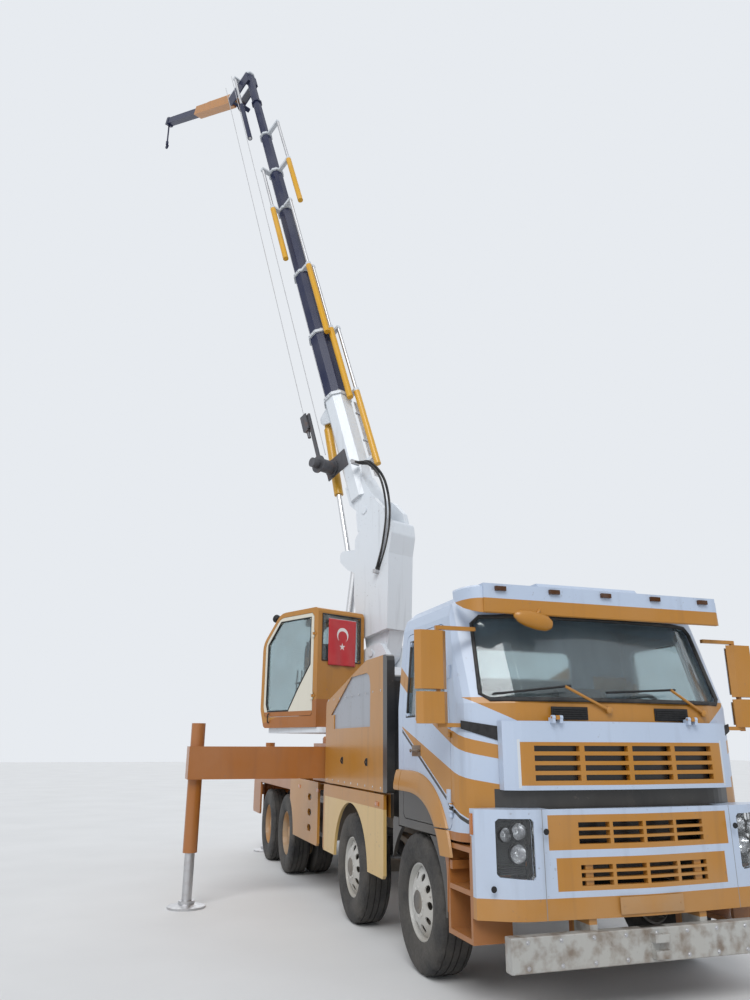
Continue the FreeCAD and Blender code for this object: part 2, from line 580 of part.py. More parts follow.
# Bumper: a wrap-round shell with two slotted grilles and pockets for the headlamps
def bumper():
    keep = Part.makeBox(2000, 3000, 2000, Vector(s.bumper_rear, -1500, 0))
    keep = keep.cut(front_block(s.panel_gap, s.cab_bottom - 10, 2000))
    shell = feature("bumper_skin", bumper_skin(0, s.bumper_wall).common(keep))
    tools = []
    for low, high, half, columns in ((1060, 1240, 560, 4), (795, 965, 560, 4)):
        rows = 3
        tall = (high - low - 20) / rows
        wide = (2 * half - 40) / columns
        for row in range(rows):
            for column in range(columns):
                tools.append(box(f"slot_{low}_{row}_{column}", (700, wide - 26, tall - 18),
                                 (1000, -half + 33 + column * wide, low + 10 + row * tall)))
    for side, sign in SIDES:
        tools.append(pad(f"lamp_pocket_{side}", lamp_outline(sign, 0), "YZ", 900, 700))
    arms = [box(f"bumper_arm_{side}", (185, 80, 70), ("frame_front", sign * 380 - 40, 975)) for side,
            sign in SIDES]
    bar = pad("steel_bar", [(s.bumper_front - 70, s.bar_bottom, 6), (s.bumper_front + 20, s.bar_bottom, 6),
                            (s.bumper_front + 20, s.bar_bottom + s.bar_height, 6),
                            (s.bumper_front - 70, s.bar_bottom + s.bar_height, 6)], "XZ", "-bar_half",
                            "2 * bar_half")
    hangers = [box(f"bar_arm_{side}", (270, 60, 560), (1050, sign * 455 - 30, 420)) for side, sign in SIDES]
    tow_eye = box("tow_jaw", (70, 120, 150), (s.bumper_front + 10, -60, s.bar_bottom + 30))
    tow_slot = box("tow_slot", (60, 130, 50), (s.bumper_front + 30, -65, s.bar_bottom + 80))
    tow_pin = rod("tow_pin_bore", 20, 300, (s.bumper_front + 52, 0, s.bar_bottom - 40))
    solid = fuse("bumper_solid", [cut("bumper_open", shell, tools), *arms, bar, *hangers, tow_eye])
    node("front_bumper", cut("front_bumper", solid, [tow_slot, tow_pin]))


def lamp_outline(sign, inset):
    d = inset
    return [(sign * (865 + d), 850 + d, 20), (sign * (1120 - d), 870 + d, 20),
            (sign * (1120 - d), 1240 - d, 20),
            (sign * (865 + d), 1240 - d, 20)]


# Front lid: the slotted panel under the windscreen, hinged at its top edge
def lid():
    outer = front_block(52, s.lid_bottom, s.lid_top)
    inner = front_block(52, s.lid_bottom - 1, s.lid_top + 1, s.lid_wall)
    keep = Part.makeBox(1000, 2000, 2000, Vector(s.cab_front - 300, -1000, 0))
    skin = feature("lid_skin", outer.cut(inner).common(keep))
    tools = []
    rows, columns = 4, 4
    low, high, half = 1470, 1740, 800
    tall = (high - low) / rows
    wide = 2 * half / columns
    for row in range(rows):
        for column in range(columns):
            tools.append(box(f"lid_slot_{row}_{column}", (500, wide - 40, tall - 28),
                             (1000, -half + 20 + column * wide, low + 14 + row * tall)))
    eyes, bores = [], []
    for side, sign in SIDES:
        for k, y in enumerate((sign * 600 - 44, sign * 600 + 19)):
            eyes.append(rod(f"lid_eye_{side}_{k}", 17, 25, (s.cab_front + 32, y, s.lid_top + 25), "Y"))
            eyes.append(box(f"lid_strap_{side}_{k}", (60, 25, 40), (s.cab_front - 15, y, s.lid_top - 15)))
        bores.append(rod(f"lid_bore_{side}", "8 + pin_clearance", 160,
                         (s.cab_front + 32, sign * 600 - 80, s.lid_top + 25), "Y"))
    node("front_lid", cut("front_lid", fuse("lid_solid", [skin, *eyes]), tools + bores))


# Lamps: headlamps that follow the bumper, tail lamps, and marker lamps on the visor
def lamps():
    lens = feature("lens_skin", bumper_skin(8, 34))
    parts = []
    for side, sign in SIDES:
        parts.append(common(f"headlamp_{side}", feature(f"lens_{side}", lens.Shape),
                            pad(f"lamp_area_{side}", lamp_outline(sign, 0.4), "YZ", 900, 700)))
        parts.append(pad(f"tail_lamp_{side}", [(sign * 700, 900, 15), (sign * 1100, 900, 15),
                                               (sign * 1100, 1030, 15), (sign * 700, 1030, 15)],
                         "YZ", "frame_rear - 130", 50))
    for k in range(5):
        parts.append(box(f"marker_{k + 1}", (25, 90, 35), (1125, -950 + k * 475 - 45, 2872)))
    doc.removeObject(lens.Name)
    node("lamps", fuse("lamps", parts))


# Visor over the windscreen with a roof box, and the mirrors on their arms
def fittings():
    visor = pad("visor", [(1095, 2700, 8), (1125, 2700, 8), (1125, 2930), (1000, 2930), (700, 2940, 20),
                          (700, 2905, 10),
                          (990, 2895), (1085, 2890)], "XZ", -1090, 2180)
    roof_box = pad("roof_box", [(420, 2925), (900, 2925), (900, 3010, 30), (420, 3010, 30)], "XZ", -480, 960)
    parts = [fuse("visor_and_box", [visor, roof_box])]
    for side, sign in SIDES:
        main = pad(f"mirror_main_{side}", [(880, sign * 1330, 40), (960, sign * 1330, 40),
                                           (960, sign * 1590, 40), (880, sign * 1590, 40)],
                   "XY", 2130, 440)
        small = pad(f"mirror_small_{side}", [(880, sign * 1330, 40), (970, sign * 1330, 40),
                                             (970, sign * 1580, 40), (880, sign * 1580, 40)],
                    "XY", 1880, 230)
        stay = box(f"mirror_stay_{side}", (30, 30, 760), (905, f"{sign} * 1400 - 15", 1850))
        arms = [box(f"mirror_arm_{z}_{side}", (35, 330, 30), (902, sign * 1245 - 165, z)) for z in (1855,
                2580)]
        parts.append(fuse(f"mirror_{side}", [main, small, stay, *arms]))
    body = fuse("fittings_solid", parts)
    node("cab_fittings", cut("cab_fittings", body, [feature("cab_block", cab_solid(0))]))


def side_panel(name, outline, sign, holes=()):
    start = "panel_y - panel_wall" if sign > 0 else "-panel_y"
    body = pad(name, outline, "XZ", start, "panel_wall")
    if not holes:
        return body
    return cut(f"{name}_cut", body, list(holes))


# Skirts: panels over and between the wheels, and the steps under the doors
def skirts():
    parts = []
    for side, sign in SIDES:
        y = -s.panel_y - 100 if sign < 0 else 1000
        gap_front, gap_rear = (-3060, -3340) if sign < 0 else (-3430, -3710)
        arches = [rod(f"arch_{i}_{side}_{k}", radius, 400, (f"axle_{i}_x", y, "tyre_radius"), "Y")
                  for k, (i, radius) in enumerate(((1, "arch_radius"), (2, "arch_radius"), (3, 580),
                                                   (3, 580), (4, 580)))]
        fender = side_panel(f"fender_{side}", [(-560, 900), (-560, 1120, 30), (-410, 1120), (-410, 1050),
                                               (685, 1050), (685, 900, 40),
                                               (640, 520), (-560, 520)], sign, arches[0:1])
        second = side_panel(f"skirt_2_{side}", [(-830, 560, 30), (-830, 1280), (gap_front, 1280),
                                                (gap_front, 560, 30)],
                            sign, arches[1:2])
        holes = [pad(f"hole_{side}_{k}", [(gap_rear - 330, 690 + 180 * k, 39),
                                          (gap_rear - 330, 770 + 180 * k, 39),
                                          (gap_rear - 530, 770 + 180 * k, 39),
                                          (gap_rear - 530, 690 + 180 * k, 39)],
                     "XZ", -1300 if sign < 0 else 1000, 300) for k in range(3)]
        third = side_panel(f"skirt_3_{side}", [(gap_rear, 560, 30), (gap_rear, 1280), (-4950, 1280),
                                               (-4950, 560, 30)],
                           sign, holes + arches[2:3])
        rail = side_panel(f"skirt_4_{side}", [(-4940, 1120), (-4940, 1280), (-7950, 1280), (-7950, 620, 40),
                                              (-7300, 620, 30), (-7300, 1120)],
                          sign, arches[3:5])
        step = box(f"step_back_{side}", (40, 300, 610), (650, sign * 1090 - 150, 430))
        treads = [box(f"tread_{z}_{side}", (420, 300, 35), (650, sign * 1090 - 150, z)) for z in (430, 730,
                1005)]
        step_face = box(f"step_front_{side}", (30, 300, 610), (1040, sign * 1090 - 150, 430))
        parts += [fender, second, third, rail, step, *treads, step_face]
        stays = ((-540, 1050, 425, 0), (680, 860, 425, 0), (-1500, 1180, 425, 1), (-2800, 1180, 425, 1),
                 (-3900, 1180, 480, 0),
                 (-5955, 1120, 425, 1), (-7350, 1120, 425, 1))
        for k, (x, z, start, lug) in enumerate(stays):
            reach = s.panel_y - 5 - start
            parts.append(box(f"stay_{k}_{side}", (60, reach, 60),
                             (x, start if sign > 0 else -s.panel_y + 5, z)))
            if lug:
                parts.append(box(f"stay_lug_{k}_{side}", (60, 60, z - 990),
                                 (x, sign * (start + 30) - 30, 1050)))
    node("side_skirts", fuse("side_skirts", parts))


# Towers: the tall side panels behind the cab, joined by the oil tank between them
def towers():
    parts = []
    f, r, top, slope, low = s.tower_front, s.tower_rear, s.tower_top, s.tower_slope_top, s.tower_bottom
    for side, sign in SIDES:
        outline = [(f, low, 20), (f, top, 60), (f - 680, top, 60), (r + 250, slope, 60),
                   (r, slope - 50, 60), (r, low, 20)]
        start = "panel_y + 5 - tower_wall" if sign > 0 else "-panel_y - 5"
        panel = pad(f"tower_panel_{side}", outline, "XZ", start, "tower_wall")
        house = [(f - 530, 1900), (f - 1920, 1900), (f - 1920, 2060), (f - 2060, 2060), (f - 1230, 2440),
                 (f - 530, 2440, 120)]
        recess = pad(f"tower_recess_{side}", house, "XZ", "panel_y - 10" if sign > 0 else "-panel_y - 20", 30)
        parts.append(cut(f"tower_side_{side}", panel, [recess]))
    tank = pad("oil_tank", [(f - 30, s.frame_top), (f - 30, 2380, 60), (f - 640, 2380, 60),
                            (f - 640, s.frame_top)], "XZ",
               "tower_wall - panel_y - 10", "2 * (panel_y + 10 - tower_wall)")
    parts.append(tank)
    node("side_towers", fuse("side_towers", parts))


# Deck behind the crane with low sides and the rear stabiliser's cross beam
def deck():
    half = s.panel_y - s.panel_wall - 10
    floor = box("deck_floor", (2560, 2 * half, 50), ("frame_rear", -half, "deck_z - 50"))
    bearers = [box(f"bearer_{k}", (80, 1800, 121), (x, -900, "frame_top")) for k,
               x in enumerate((-5500, -6300, -7100))]
    sides = [pad(f"deck_side_{side}", [(s.frame_rear, 1240), (s.frame_rear, 1620, 40), (-5800, 1620, 100),
                                       (-5390, 1420, 60), (-5390, 1240)],
                 "XZ", half - 40 if sign > 0 else -half, 40) for side, sign in SIDES]
    tail = box("deck_tail", (40, 2 * half, 370), ("frame_rear", -half, 1240))
    cross = box("rear_cross", (200, 2260, 121), (-7780, -1130, "frame_top"))
    tubes, bores = [], []
    for side, sign in SIDES:
        tubes.append(rod(f"rear_jack_tube_{side}", "jack_radius", "1750 - 520", (-7680, sign * 1040, 520)))
        bores.append(rod(f"rear_jack_bore_{side}", "jack_rod_radius + slide_gap", "1700 - 500",
                         (-7680, sign * 1040, 500)))
    board = box("lamp_board", (30, 2300, 170), ("frame_rear - 80", -1150, 880))
    arms = [box(f"board_arm_{side}", (80, 60, 120), ("frame_rear - 80", sign * 395 - 30, 900)) for side,
            sign in SIDES]
    solid = fuse("deck_solid", [floor, *bearers, *sides, tail, cross, *tubes, board, *arms])
    node("deck", cut("deck", solid, bores))


# Crane base: subframe on the rails, outrigger box, pedestal and slewing ring
def crane_base():
    subframe = box("subframe", (2500, 960, 225), (-5360, -480, "base_bottom"))
    depth = 2 * s.beam_box_width + 3 * s.box_wall + 4 * s.slide_gap
    outer = box("outrigger_box", (depth, 2440, "box_height"), (s.box_front - depth, -1220, "box_bottom"))
    holes = []
    for k in range(2):
        x = s.box_front - (k + 1) * (s.box_wall + 2 * s.slide_gap + s.beam_box_width)
        holes.append(box(f"beam_way_{k}", ("beam_box_width + 2 * slide_gap", 2600,
                                           "beam_box_height + 2 * slide_gap"),
                         (x, -1300, "box_bottom + (box_height - beam_box_height) / 2 - slide_gap")))
    cheeks = [pad(f"base_cheek_{side}", [(-3600, 1290), (-3600, 1740), (-3950, 1740), (-4250, 1750),
                                         (-4700, 1750), (-5300, 1300), (-5300, 1290)],
                  "XZ", sign * 400 - 20, 40) for side, sign in SIDES]
    pedestal = rod("pedestal", "pedestal_radius", "base_top - 1300", ("crane_x", 0, 1300))
    ring = rod("slew_ring", "ring_radius", "ring_top - base_top - slide_gap", ("crane_x", 0, "base_top"))
    cover = turned("drive_cover", [(0, 0), (150, 0), (150, 60), (130, 82), (105, 85), (105, 110), (80, 125),
                                   (0, 125)], "Z",
                   (s.box_front - 420, -1020, s.box_bottom + s.box_height), 20)
    solid = cut("base_open", fuse("base_solid", [subframe, outer, *cheeks]), holes)
    node("crane_base", fuse("crane_base", [solid, pedestal, ring, cover]))


def outriggers():
    tall = s.beam_box_height
    low = s.box_bottom + (s.box_height - tall) / 2
    for k, (side, sign) in enumerate((("right", -1), ("left", 1))):
        x = s.box_front - (k + 1) * (s.box_wall + 2 * s.slide_gap + s.beam_box_width) + s.slide_gap
        tip, inner = sign * s.beam_tip, sign * (s.beam_tip - s.beam_length)
        outer = pad(f"beam_tube_{side}", [(x, low), (x + s.beam_box_width, low),
                                          (x + s.beam_box_width, low + tall), (x, low + tall)],
                    "XZ", min(tip, inner), "beam_length")
        w = s.beam_wall
        hollow = pad(f"beam_hollow_{side}", [(x + w, low + w), (x + s.beam_box_width - w, low + w),
                                             (x + s.beam_box_width - w, low + tall - w),
                                             (x + w, low + tall - w)],
                     "XZ", min(tip, inner) + (w if sign < 0 else -w), "beam_length")
        jack_x = x + s.beam_box_width / 2
        jack_y = sign * (s.beam_tip - s.jack_radius - 20)
        tube = rod(f"jack_tube_{side}", "jack_radius", "jack_top - jack_bottom",
                   (jack_x, jack_y, "jack_bottom"))
        bore = rod(f"jack_bore_{side}", "jack_rod_radius + slide_gap", "jack_top - jack_bottom - 40",
                   (jack_x, jack_y, "jack_bottom - 1"))
        node(f"outrigger_{side}", cut(f"outrigger_{side}", fuse(f"outrigger_solid_{side}",
             [cut(f"beam_open_{side}", outer, [hollow]), tube]), [bore]))
        jack(f"jack_{side}", jack_x, jack_y, s.jack_bottom + 350)
    for side, sign in SIDES:
        jack(f"rear_jack_{side}", -7680, sign * 1040, 1100)


def jack(name, x, y, top):
    """A jack's rod with its round foot on the ground."""
    stem = rod(f"{name}_rod", "jack_rod_radius", top, (x, y, 0))
    foot = turned(f"{name}_foot", [(0, 0), (s.foot_radius, 0), (s.foot_radius, 22), (90, s.foot_height),
                                   (90, 75), (0, 75)],
                  "Z", (x, y, 0), 24)
    node(name, fuse(name, [stem, foot]))


# Turntable: platform on the ring, turret with the boom's foot ears, and arms for the lift cylinder
def turntable():
    h = s.turret_half
    disc = rod("platform_disc", "ring_radius + 60", "platform_top - ring_top", (0, 0, "ring_top"))
    wing = pad("platform_wing", [(-500, -560, 120), (1180, -560, 120), (1330, -300), (1330, 1100, 60),
                                 (60, 1150, 60), (-300, 560, 200)],
               "XY", "platform_top - 70", 70)
    turret = pad("turret_box", [(-480, 1950), (400, 1950), (330, 2600, 80), (260, 2790), (-330, 2790),
                                (-420, 2500, 80)],
                 "XZ", "-turret_half", "2 * turret_half")
    ears = []
    for side, sign in SIDES:
        y = s.turret_half - s.ear_wall if sign > 0 else -s.turret_half
        ears.append(pad(f"ear_{side}", [(-300, 2780), (260, 2780), (180, s.foot_pin_z + 60, 90),
                                        (-180, s.foot_pin_z + 150, 120), (-330, 2960, 60)],
                        "XZ", y, "ear_wall"))
        y2 = 92 if sign > 0 else -132
        ears.append(pad(f"lift_ear_{side}", [(300, 2000), (300, 2560),
                                             (s.lift_base_r - 120, s.lift_base_z + 130),
                                             (s.lift_base_r + 120, s.lift_base_z + 110, 90),
                                             (s.lift_base_r + 120, s.lift_base_z - 130, 90),
                                             (800, 1950), (340, 1950)], "XZ", y2, 40))
    pins = [rod("foot_pin", "foot_pin_radius", "2 * turret_half + 40",
                (0, "-turret_half - 20", "foot_pin_z"), "Y"),
            rod("lift_pin", 40, 264, ("lift_base_r", -132, "lift_base_z"), "Y")]
    node("turntable", fuse("turntable", [disc, wing, turret, *ears, *pins]), CRANE)


def op_outline(inset=0.0, front_inset=0.0):
    """The operator's cab from the side: upright rear, round front roof, sloping front."""
    d = inset
    rear, front = s.op_rear + d, s.op_rear + s.op_length - d - front_inset
    low, high = s.op_bottom + d, s.op_bottom + s.op_height - d
    return [(rear, low), (front - 90, low, 40), (front, low + 260, 120), (front, high - 420, 260),
            (front - 420, high, 260), (rear, high, 60)]


def operator_cab():
    outer = pad("op_outer", op_outline(), "XZ", "op_right", "op_width")
    inner = pad("op_inner", op_outline(s.op_wall), "XZ", "op_right + op_wall", "op_width - 2 * op_wall")
    rear, low, high = s.op_rear, s.op_bottom, s.op_bottom + s.op_height
    front = rear + s.op_length
    right, left = s.op_right, s.op_right + s.op_width
    openings = [pad("op_doorway", op_door_outline(0), "XZ", left - 60, 200),
                pad("op_side_window", [(rear + 120, low + 560, 40), (rear + 120, high - 110, 40),
                                       (front - 420, high - 110, 120),
                                       (front - 90, high - 420, 120), (front - 90, low + 560, 60)], "XZ",
                                       right - 100, 160),
                pad("op_rear_window", [(right + 80, low + 900, 40), (left - 80, low + 900, 40),
                                       (left - 80, high - 90, 40), (right + 80, high - 90, 40)],
                    "YZ", rear - 50, 150),
                pad("op_front_window", [(right + 70, low + 140, 50), (left - 70, low + 140, 50),
                                        (left - 70, high - 330, 50), (right + 70, high - 330, 50)],
                    "YZ", front - 200, 400),
                pad("op_roof_window", [(front - 480, right + 80, 40), (front - 60, right + 80, 40),
                                       (front - 60, left - 80, 40), (front - 480, left - 80, 40)],
                    "XY", high - 330, 500)]
    notches = []
    for z in (low + 400, low + 1250):
        pockets, notch = hinge_pockets(f"op_hinge_room_{int(z)}", rear + 86, left + 10, z)
        openings += pockets
        notches.append(notch)
    shell = cut("op_shell", cut("op_hollow", outer, [inner]), openings)
    seat = pad("op_seat", [(rear + 60, low + 40), (rear + 620, low + 40), (rear + 620, low + 420, 50),
                           (rear + 330, low + 520, 40),
                           (rear + 210, low + 1150, 50), (rear + 100, low + 1150, 50),
                           (rear + 160, low + 480, 30)],
               "XZ", right + 210, 470)
    hinges, lugs, bores = [], [], []
    for z in (low + 400, low + 1250):
        hinges += hinge_base(f"op_hinge_{int(z)}", rear + 86, left + 10, z, -50, -12)
        parts, bore = hinge_leaf(f"op_knuckle_{int(z)}", rear + 86, left + 10, z, 50, -12)
        lugs += parts
        bores.append(bore)
    node("operator_cab", fuse("operator_cab", [shell, seat, *hinges]), CRANE)
    leaf = cut("op_leaf", pad("op_door_slab", op_door_outline(s.panel_gap), "XZ", left - s.op_wall,
                              "op_wall"),
               [pad("op_door_window", op_window_outline(), "XZ", left - 100, 200), *notches])
    node("operator_door", cut("operator_door", fuse("op_door_body", [leaf, *lugs]), bores), CRANE)


def op_door_outline(inset):
    d = inset
    rear, low, high = s.op_rear, s.op_bottom, s.op_bottom + s.op_height
    front = rear + s.op_length
    return [(rear + 90 + d, low + 150 + d, 30), (front - 110 - d, low + 150 + d, 30),
            (front - 70 - d, low + 300, 60),
            (front - 70 - d, high - 430, 180), (front - 420, high - 70 - d, 200),
            (rear + 90 + d, high - 70 - d, 50)]


def op_window_outline():
    rear, low, high = s.op_rear, s.op_bottom, s.op_bottom + s.op_height
    front = rear + s.op_length
    return [(rear + 160, low + 850, 30), (rear + 430, low + 520, 60), (rear + 640, low + 230, 60),
            (front - 180, low + 230, 40),
            (front - 140, low + 330, 60), (front - 140, high - 450, 140), (front - 440, high - 135, 150),
            (rear + 160, high - 135, 40)]


# First boom: deep box from the turret's ears up to the knuckle, with ears for both cylinders
def boom_one():
    fz, kr, kz = s.foot_pin_z, s.knuckle_r, s.knuckle_z
    body = pad("boom_1_box", [(-330, fz + 330), (-120, fz + 290), (180, fz + 230), (310, fz + 330),
                              (400, 3900), (388, 4790, 60),
                              (290, 4900, 60), (100, 4965), (-140, 5010), (-400, 4960, 60),
                              (-430, 4750, 100), (-370, 4450)],
               "XZ", "-turret_half", "2 * turret_half")
    lug = pad("boom_1_lug", [(-280, fz + 340), (-190, fz - 60, 100), (-60, fz - 160, 110),
                             (60, fz - 160, 110), (190, fz - 60, 100), (270, fz + 340)],
              "XZ", -150, 300)
    heads = []
    bend_r, bend_z = boom_point(s.bend_u, s.bend_w)
    pins = [rod("knuckle_pin", 60, "2 * turret_half + 30", ("knuckle_r", "-turret_half - 15", "knuckle_z"),
                "Y")]
    for side, sign in SIDES:
        y = 156 if sign > 0 else -s.turret_half
        heads.append(pad(f"knuckle_ear_{side}", [(-330, 4900), (330, 4900), (kr + 190, kz - 60, 60),
                                                 (kr + 170, kz + 190, 150),
                                                 (kr - 190, kz + 190, 150), (-260, 5150, 60)], "XZ", y,
                                                 s.turret_half - 156))
        inside = s.lift_rod_radius + s.ear_room
        y2 = inside if sign > 0 else -inside - 40
        heads.append(pad(f"front_ear_{side}", [(300, 4150), (s.lift_eye_r - 30, s.lift_eye_z - 85, 40),
                                               (s.lift_eye_r + 45, s.lift_eye_z - 60, 40),
                                               (910, 4530, 60), (905, 4695, 60),
                                               (740, 4695, 60), (300, 4640)], "XZ", y2, 40))
        y3 = s.eye_half + s.ear_room if sign > 0 else -inside - 40
        reach = s.lift_rod_radius + 40 - s.eye_half
        pins += [rod(f"lift_eye_pin_{side}", 35, reach, ("lift_eye_r", y3, "lift_eye_z"), "Y"),
                 rod(f"bend_eye_pin_{side}", 30, reach, (bend_r, y3, bend_z), "Y")]
    bore = rod("foot_bore", "foot_pin_radius + running_gap", 400, (0, -200, "foot_pin_z"), "Y")
    node("boom_1", fuse("boom_1", [cut("boom_1_foot", fuse("boom_1_solid", [body, lug]), [bore]), *heads,
                                   *pins]), CRANE)


def boom_point(u, w):
    """A point of the second boom's frame as (r, z) of the crane's frame."""
    a = math.radians(s.boom_angle)
    return (s.knuckle_r + u * math.cos(a) - w * math.sin(a), s.knuckle_z + u * math.sin(a) + w * math.cos(a))


def cylinder(name, base, eye, barrel_radius, rod_radius, barrel_length, lug, pin, eye_pin, frame):
    """A hydraulic cylinder in the plane of the boom: a barrel with its bore, and a rod with its eye."""
    start, end = Vector(*base), Vector(*eye)
    way = (end - start).normalize()
    at = lambda reach: tuple(start + way * reach)
    tube = slanted_rod(f"{name}_tube", barrel_radius, at(160), at(barrel_length))
    heel = slanted_rod(f"{name}_heel", lug - 12, at(0), at(200))
    boss = rod(f"{name}_boss", pin + 28, 2 * lug, (base[0], -lug, base[2]), "Y")
    bore = slanted_rod(f"{name}_bore", rod_radius + s.slide_gap, at(190), at(barrel_length + 10))
    eye_hole = rod(f"{name}_hole", pin + s.running_gap, 300, (base[0], -150, base[2]), "Y")
    node(f"{name}_barrel", cut(f"{name}_barrel", fuse(f"{name}_outer", [tube, heel, boss]),
                               [bore, eye_hole]), frame)
    total = (end - start).Length
    stem = slanted_rod(f"{name}_stem", rod_radius, at(barrel_length - 90), at(total))
    eye_boss = rod(f"{name}_eye", eye_pin + 28, 2 * s.eye_half, (eye[0], -s.eye_half, eye[2]), "Y")
    hole = rod(f"{name}_eye_hole", eye_pin + s.running_gap, 300, (eye[0], -150, eye[2]), "Y")
    node(f"{name}_rod", cut(f"{name}_rod", fuse(f"{name}_rod_solid", [stem, eye_boss]), [hole]), frame)


# Lanes of the extension cylinders: across, out from the boom's axis, and length of the barrel
LANES = ((-130, 380, 1650), (0, 310, 1740), (120, 310, 1900), (320, -50, 1650), (0, 470, 1500),
         (270, -240, 1380))


def section_outline(half):
    """A boom section's eight-sided profile, across and back, round the boom's axis."""
    c, w = half, s.boom_w
    return [(-c, 0.5 * c + w), (-0.5 * c, c + w), (0.5 * c, c + w), (c, 0.5 * c + w), (c, -0.4 * c + w),
            (0.45 * c, -c + w),
            (-0.45 * c, -c + w), (-c, -0.4 * c + w)]


def tube_section(name, half, wall, start, length):
    outer = pad(f"{name}_outer", section_outline(half), "YZ", start, length)
    inner = pad(f"{name}_inner", section_outline(half - wall), "YZ", start - 1, length + 2)
    return cut(f"{name}_tube", outer, [inner])


def head_plate(name, half, head, lanes):
    """The frame round a section's mouth, with arms out to its cylinder lanes."""
    plate = pad(f"{name}_collar", section_outline(half + 26), "YZ", head - s.head_thick, s.head_thick)
    arms = []
    for k, (l, w, length) in enumerate(lanes):
        if abs(l) > half:
            arms.append(box(f"{name}_arm_{k}", (s.head_thick, abs(l) - half + 60, 90),
                            (head - s.head_thick, min(l, math.copysign(half - 30, l)), s.boom_w + w - 45)))
        else:
            arms.append(box(f"{name}_arm_{k}", (s.head_thick, 80, w - half + 40),
                            (head - s.head_thick, l - 40, s.boom_w + half - 20)))
    return fuse(f"{name}_frame", [plate, *arms])


def barrel(name, lane, head):
    l, w, length = lane
    outer = rod(f"{name}_barrel", "barrel_radius", length, (head - length - 5, l, s.boom_w + w), "X")
    bore = rod(f"{name}_bore", "barrel_bore", length, (head - length + 40, l, s.boom_w + w), "X")
    return outer, bore


def stage_table():
    """For each section: its number, half size, wall, head place, exposed length."""
    heads = [s.boom_head]
    rows = []
    for k in range(1, 7):
        exposed = getattr(s, f"stage_{k}")
        heads.append(heads[-1] + exposed)
        rows.append((k, s.boom_half - k * s.boom_step, heads[k - 1], heads[k], exposed))
    return rows


def boom_two():
    wall = s.boom_step - s.boom_gap
    tube = tube_section("boom_2", s.boom_half, wall, s.boom_start, s.boom_head - s.boom_start)
    plate = head_plate("boom_2", s.boom_half, s.boom_head, [LANES[0]])
    outer, bore = barrel("boom_2", LANES[0], s.boom_head)
    hollow = pad("boom_2_mouth", section_outline(s.boom_half - wall), "YZ", s.boom_head - 200, 400)
    lug = pad("boom_2_lug", [(-150, -60, 120), (-150, 150, 120), (120, 190, 100), (700, s.boom_w + 205),
                             (700, s.boom_w - 205),
                             (350, s.boom_w - 205), (60, -190, 100)], "XZ", -150, 300)
    clear = pad("boom_2_clear", section_outline(s.boom_half - wall), "YZ", s.boom_start + 12, 700)
    pin_hole = rod("boom_2_hole", 60 + s.running_gap, 400, (0, -200, 0), "Y")
    end_plate = pad("boom_2_end", section_outline(s.boom_half), "YZ", s.boom_start, 12)
    ears = []
    for side, sign in SIDES:
        y = 84 if sign > 0 else -114
        ears.append(pad(f"bend_ear_{side}", [(s.bend_head_u - 160, s.boom_w - 195),
                                             (s.bend_head_u - 70, s.bend_head_w - 50, 50),
                                             (s.bend_head_u + 80, s.bend_head_w - 50, 50),
                                             (s.bend_head_u + 160, s.boom_w - 195)],
                        "XZ", y, 30))
    bend_pin = rod("bend_head_pin", 32, 228, ("bend_head_u", -114, "bend_head_w"), "Y")
    foot = box("barrel_foot", (60, 80, 190), (s.boom_head - 1500, LANES[0][0] - 40, s.boom_w + 205))
    solid = fuse("boom_2_solid", [tube, plate, outer, lug, end_plate, *ears, bend_pin, foot])
    node("boom_2", cut("boom_2", solid, [hollow, clear, pin_hole, bore]), BOOM)
    winch()


def winch():
    """Rope winch on the second boom's left side, and the hook block parked ahead of it."""
    u, side, w = 1150, s.boom_half, s.boom_w - 300
    drum = rod("winch_drum", 110, 300, (u, side + 30, w), "Y")
    flanges = [rod(f"winch_flange_{k}", 150, 24, (u, y, w), "Y") for k,
               y in enumerate((side + 18, side + 310))]
    motor = rod("winch_motor", 80, 130, (u, side + 330, w), "Y")
    plate = box("winch_plate", (320, 18, 520), (u - 160, side, s.boom_w - 460))
    cross = box("block_cross", (60, 170, 70), (u + 170, side, s.boom_w - 455))
    link = box("block_link", (40, 18, 70), (u + 140, side, s.boom_w - 455))
    bar = box("block_bar", (1060, 30, 70), (u + 170, side + 140, s.boom_w - 455))
    cheeks = [box(f"block_cheek_{k}", (330, 22, 150), (2080, y, s.boom_w - 590)) for k,
              y in enumerate((side + 120, side + 182))]
    sheave = rod("block_sheave", 75, 84, (2260, side + 120, s.boom_w - 515), "Y")
    swivel = box("block_swivel", (70, 84, 90), (2050, side + 120, s.boom_w - 560))
    shank = rod("block_shank", 28, 150, (1920, side + 162, s.boom_w - 515), "X")
    node("winch", fuse("winch", [drum, *flanges, motor, plate, cross, link, bar, *cheeks, sheave, swivel,
                                 shank]), BOOM)


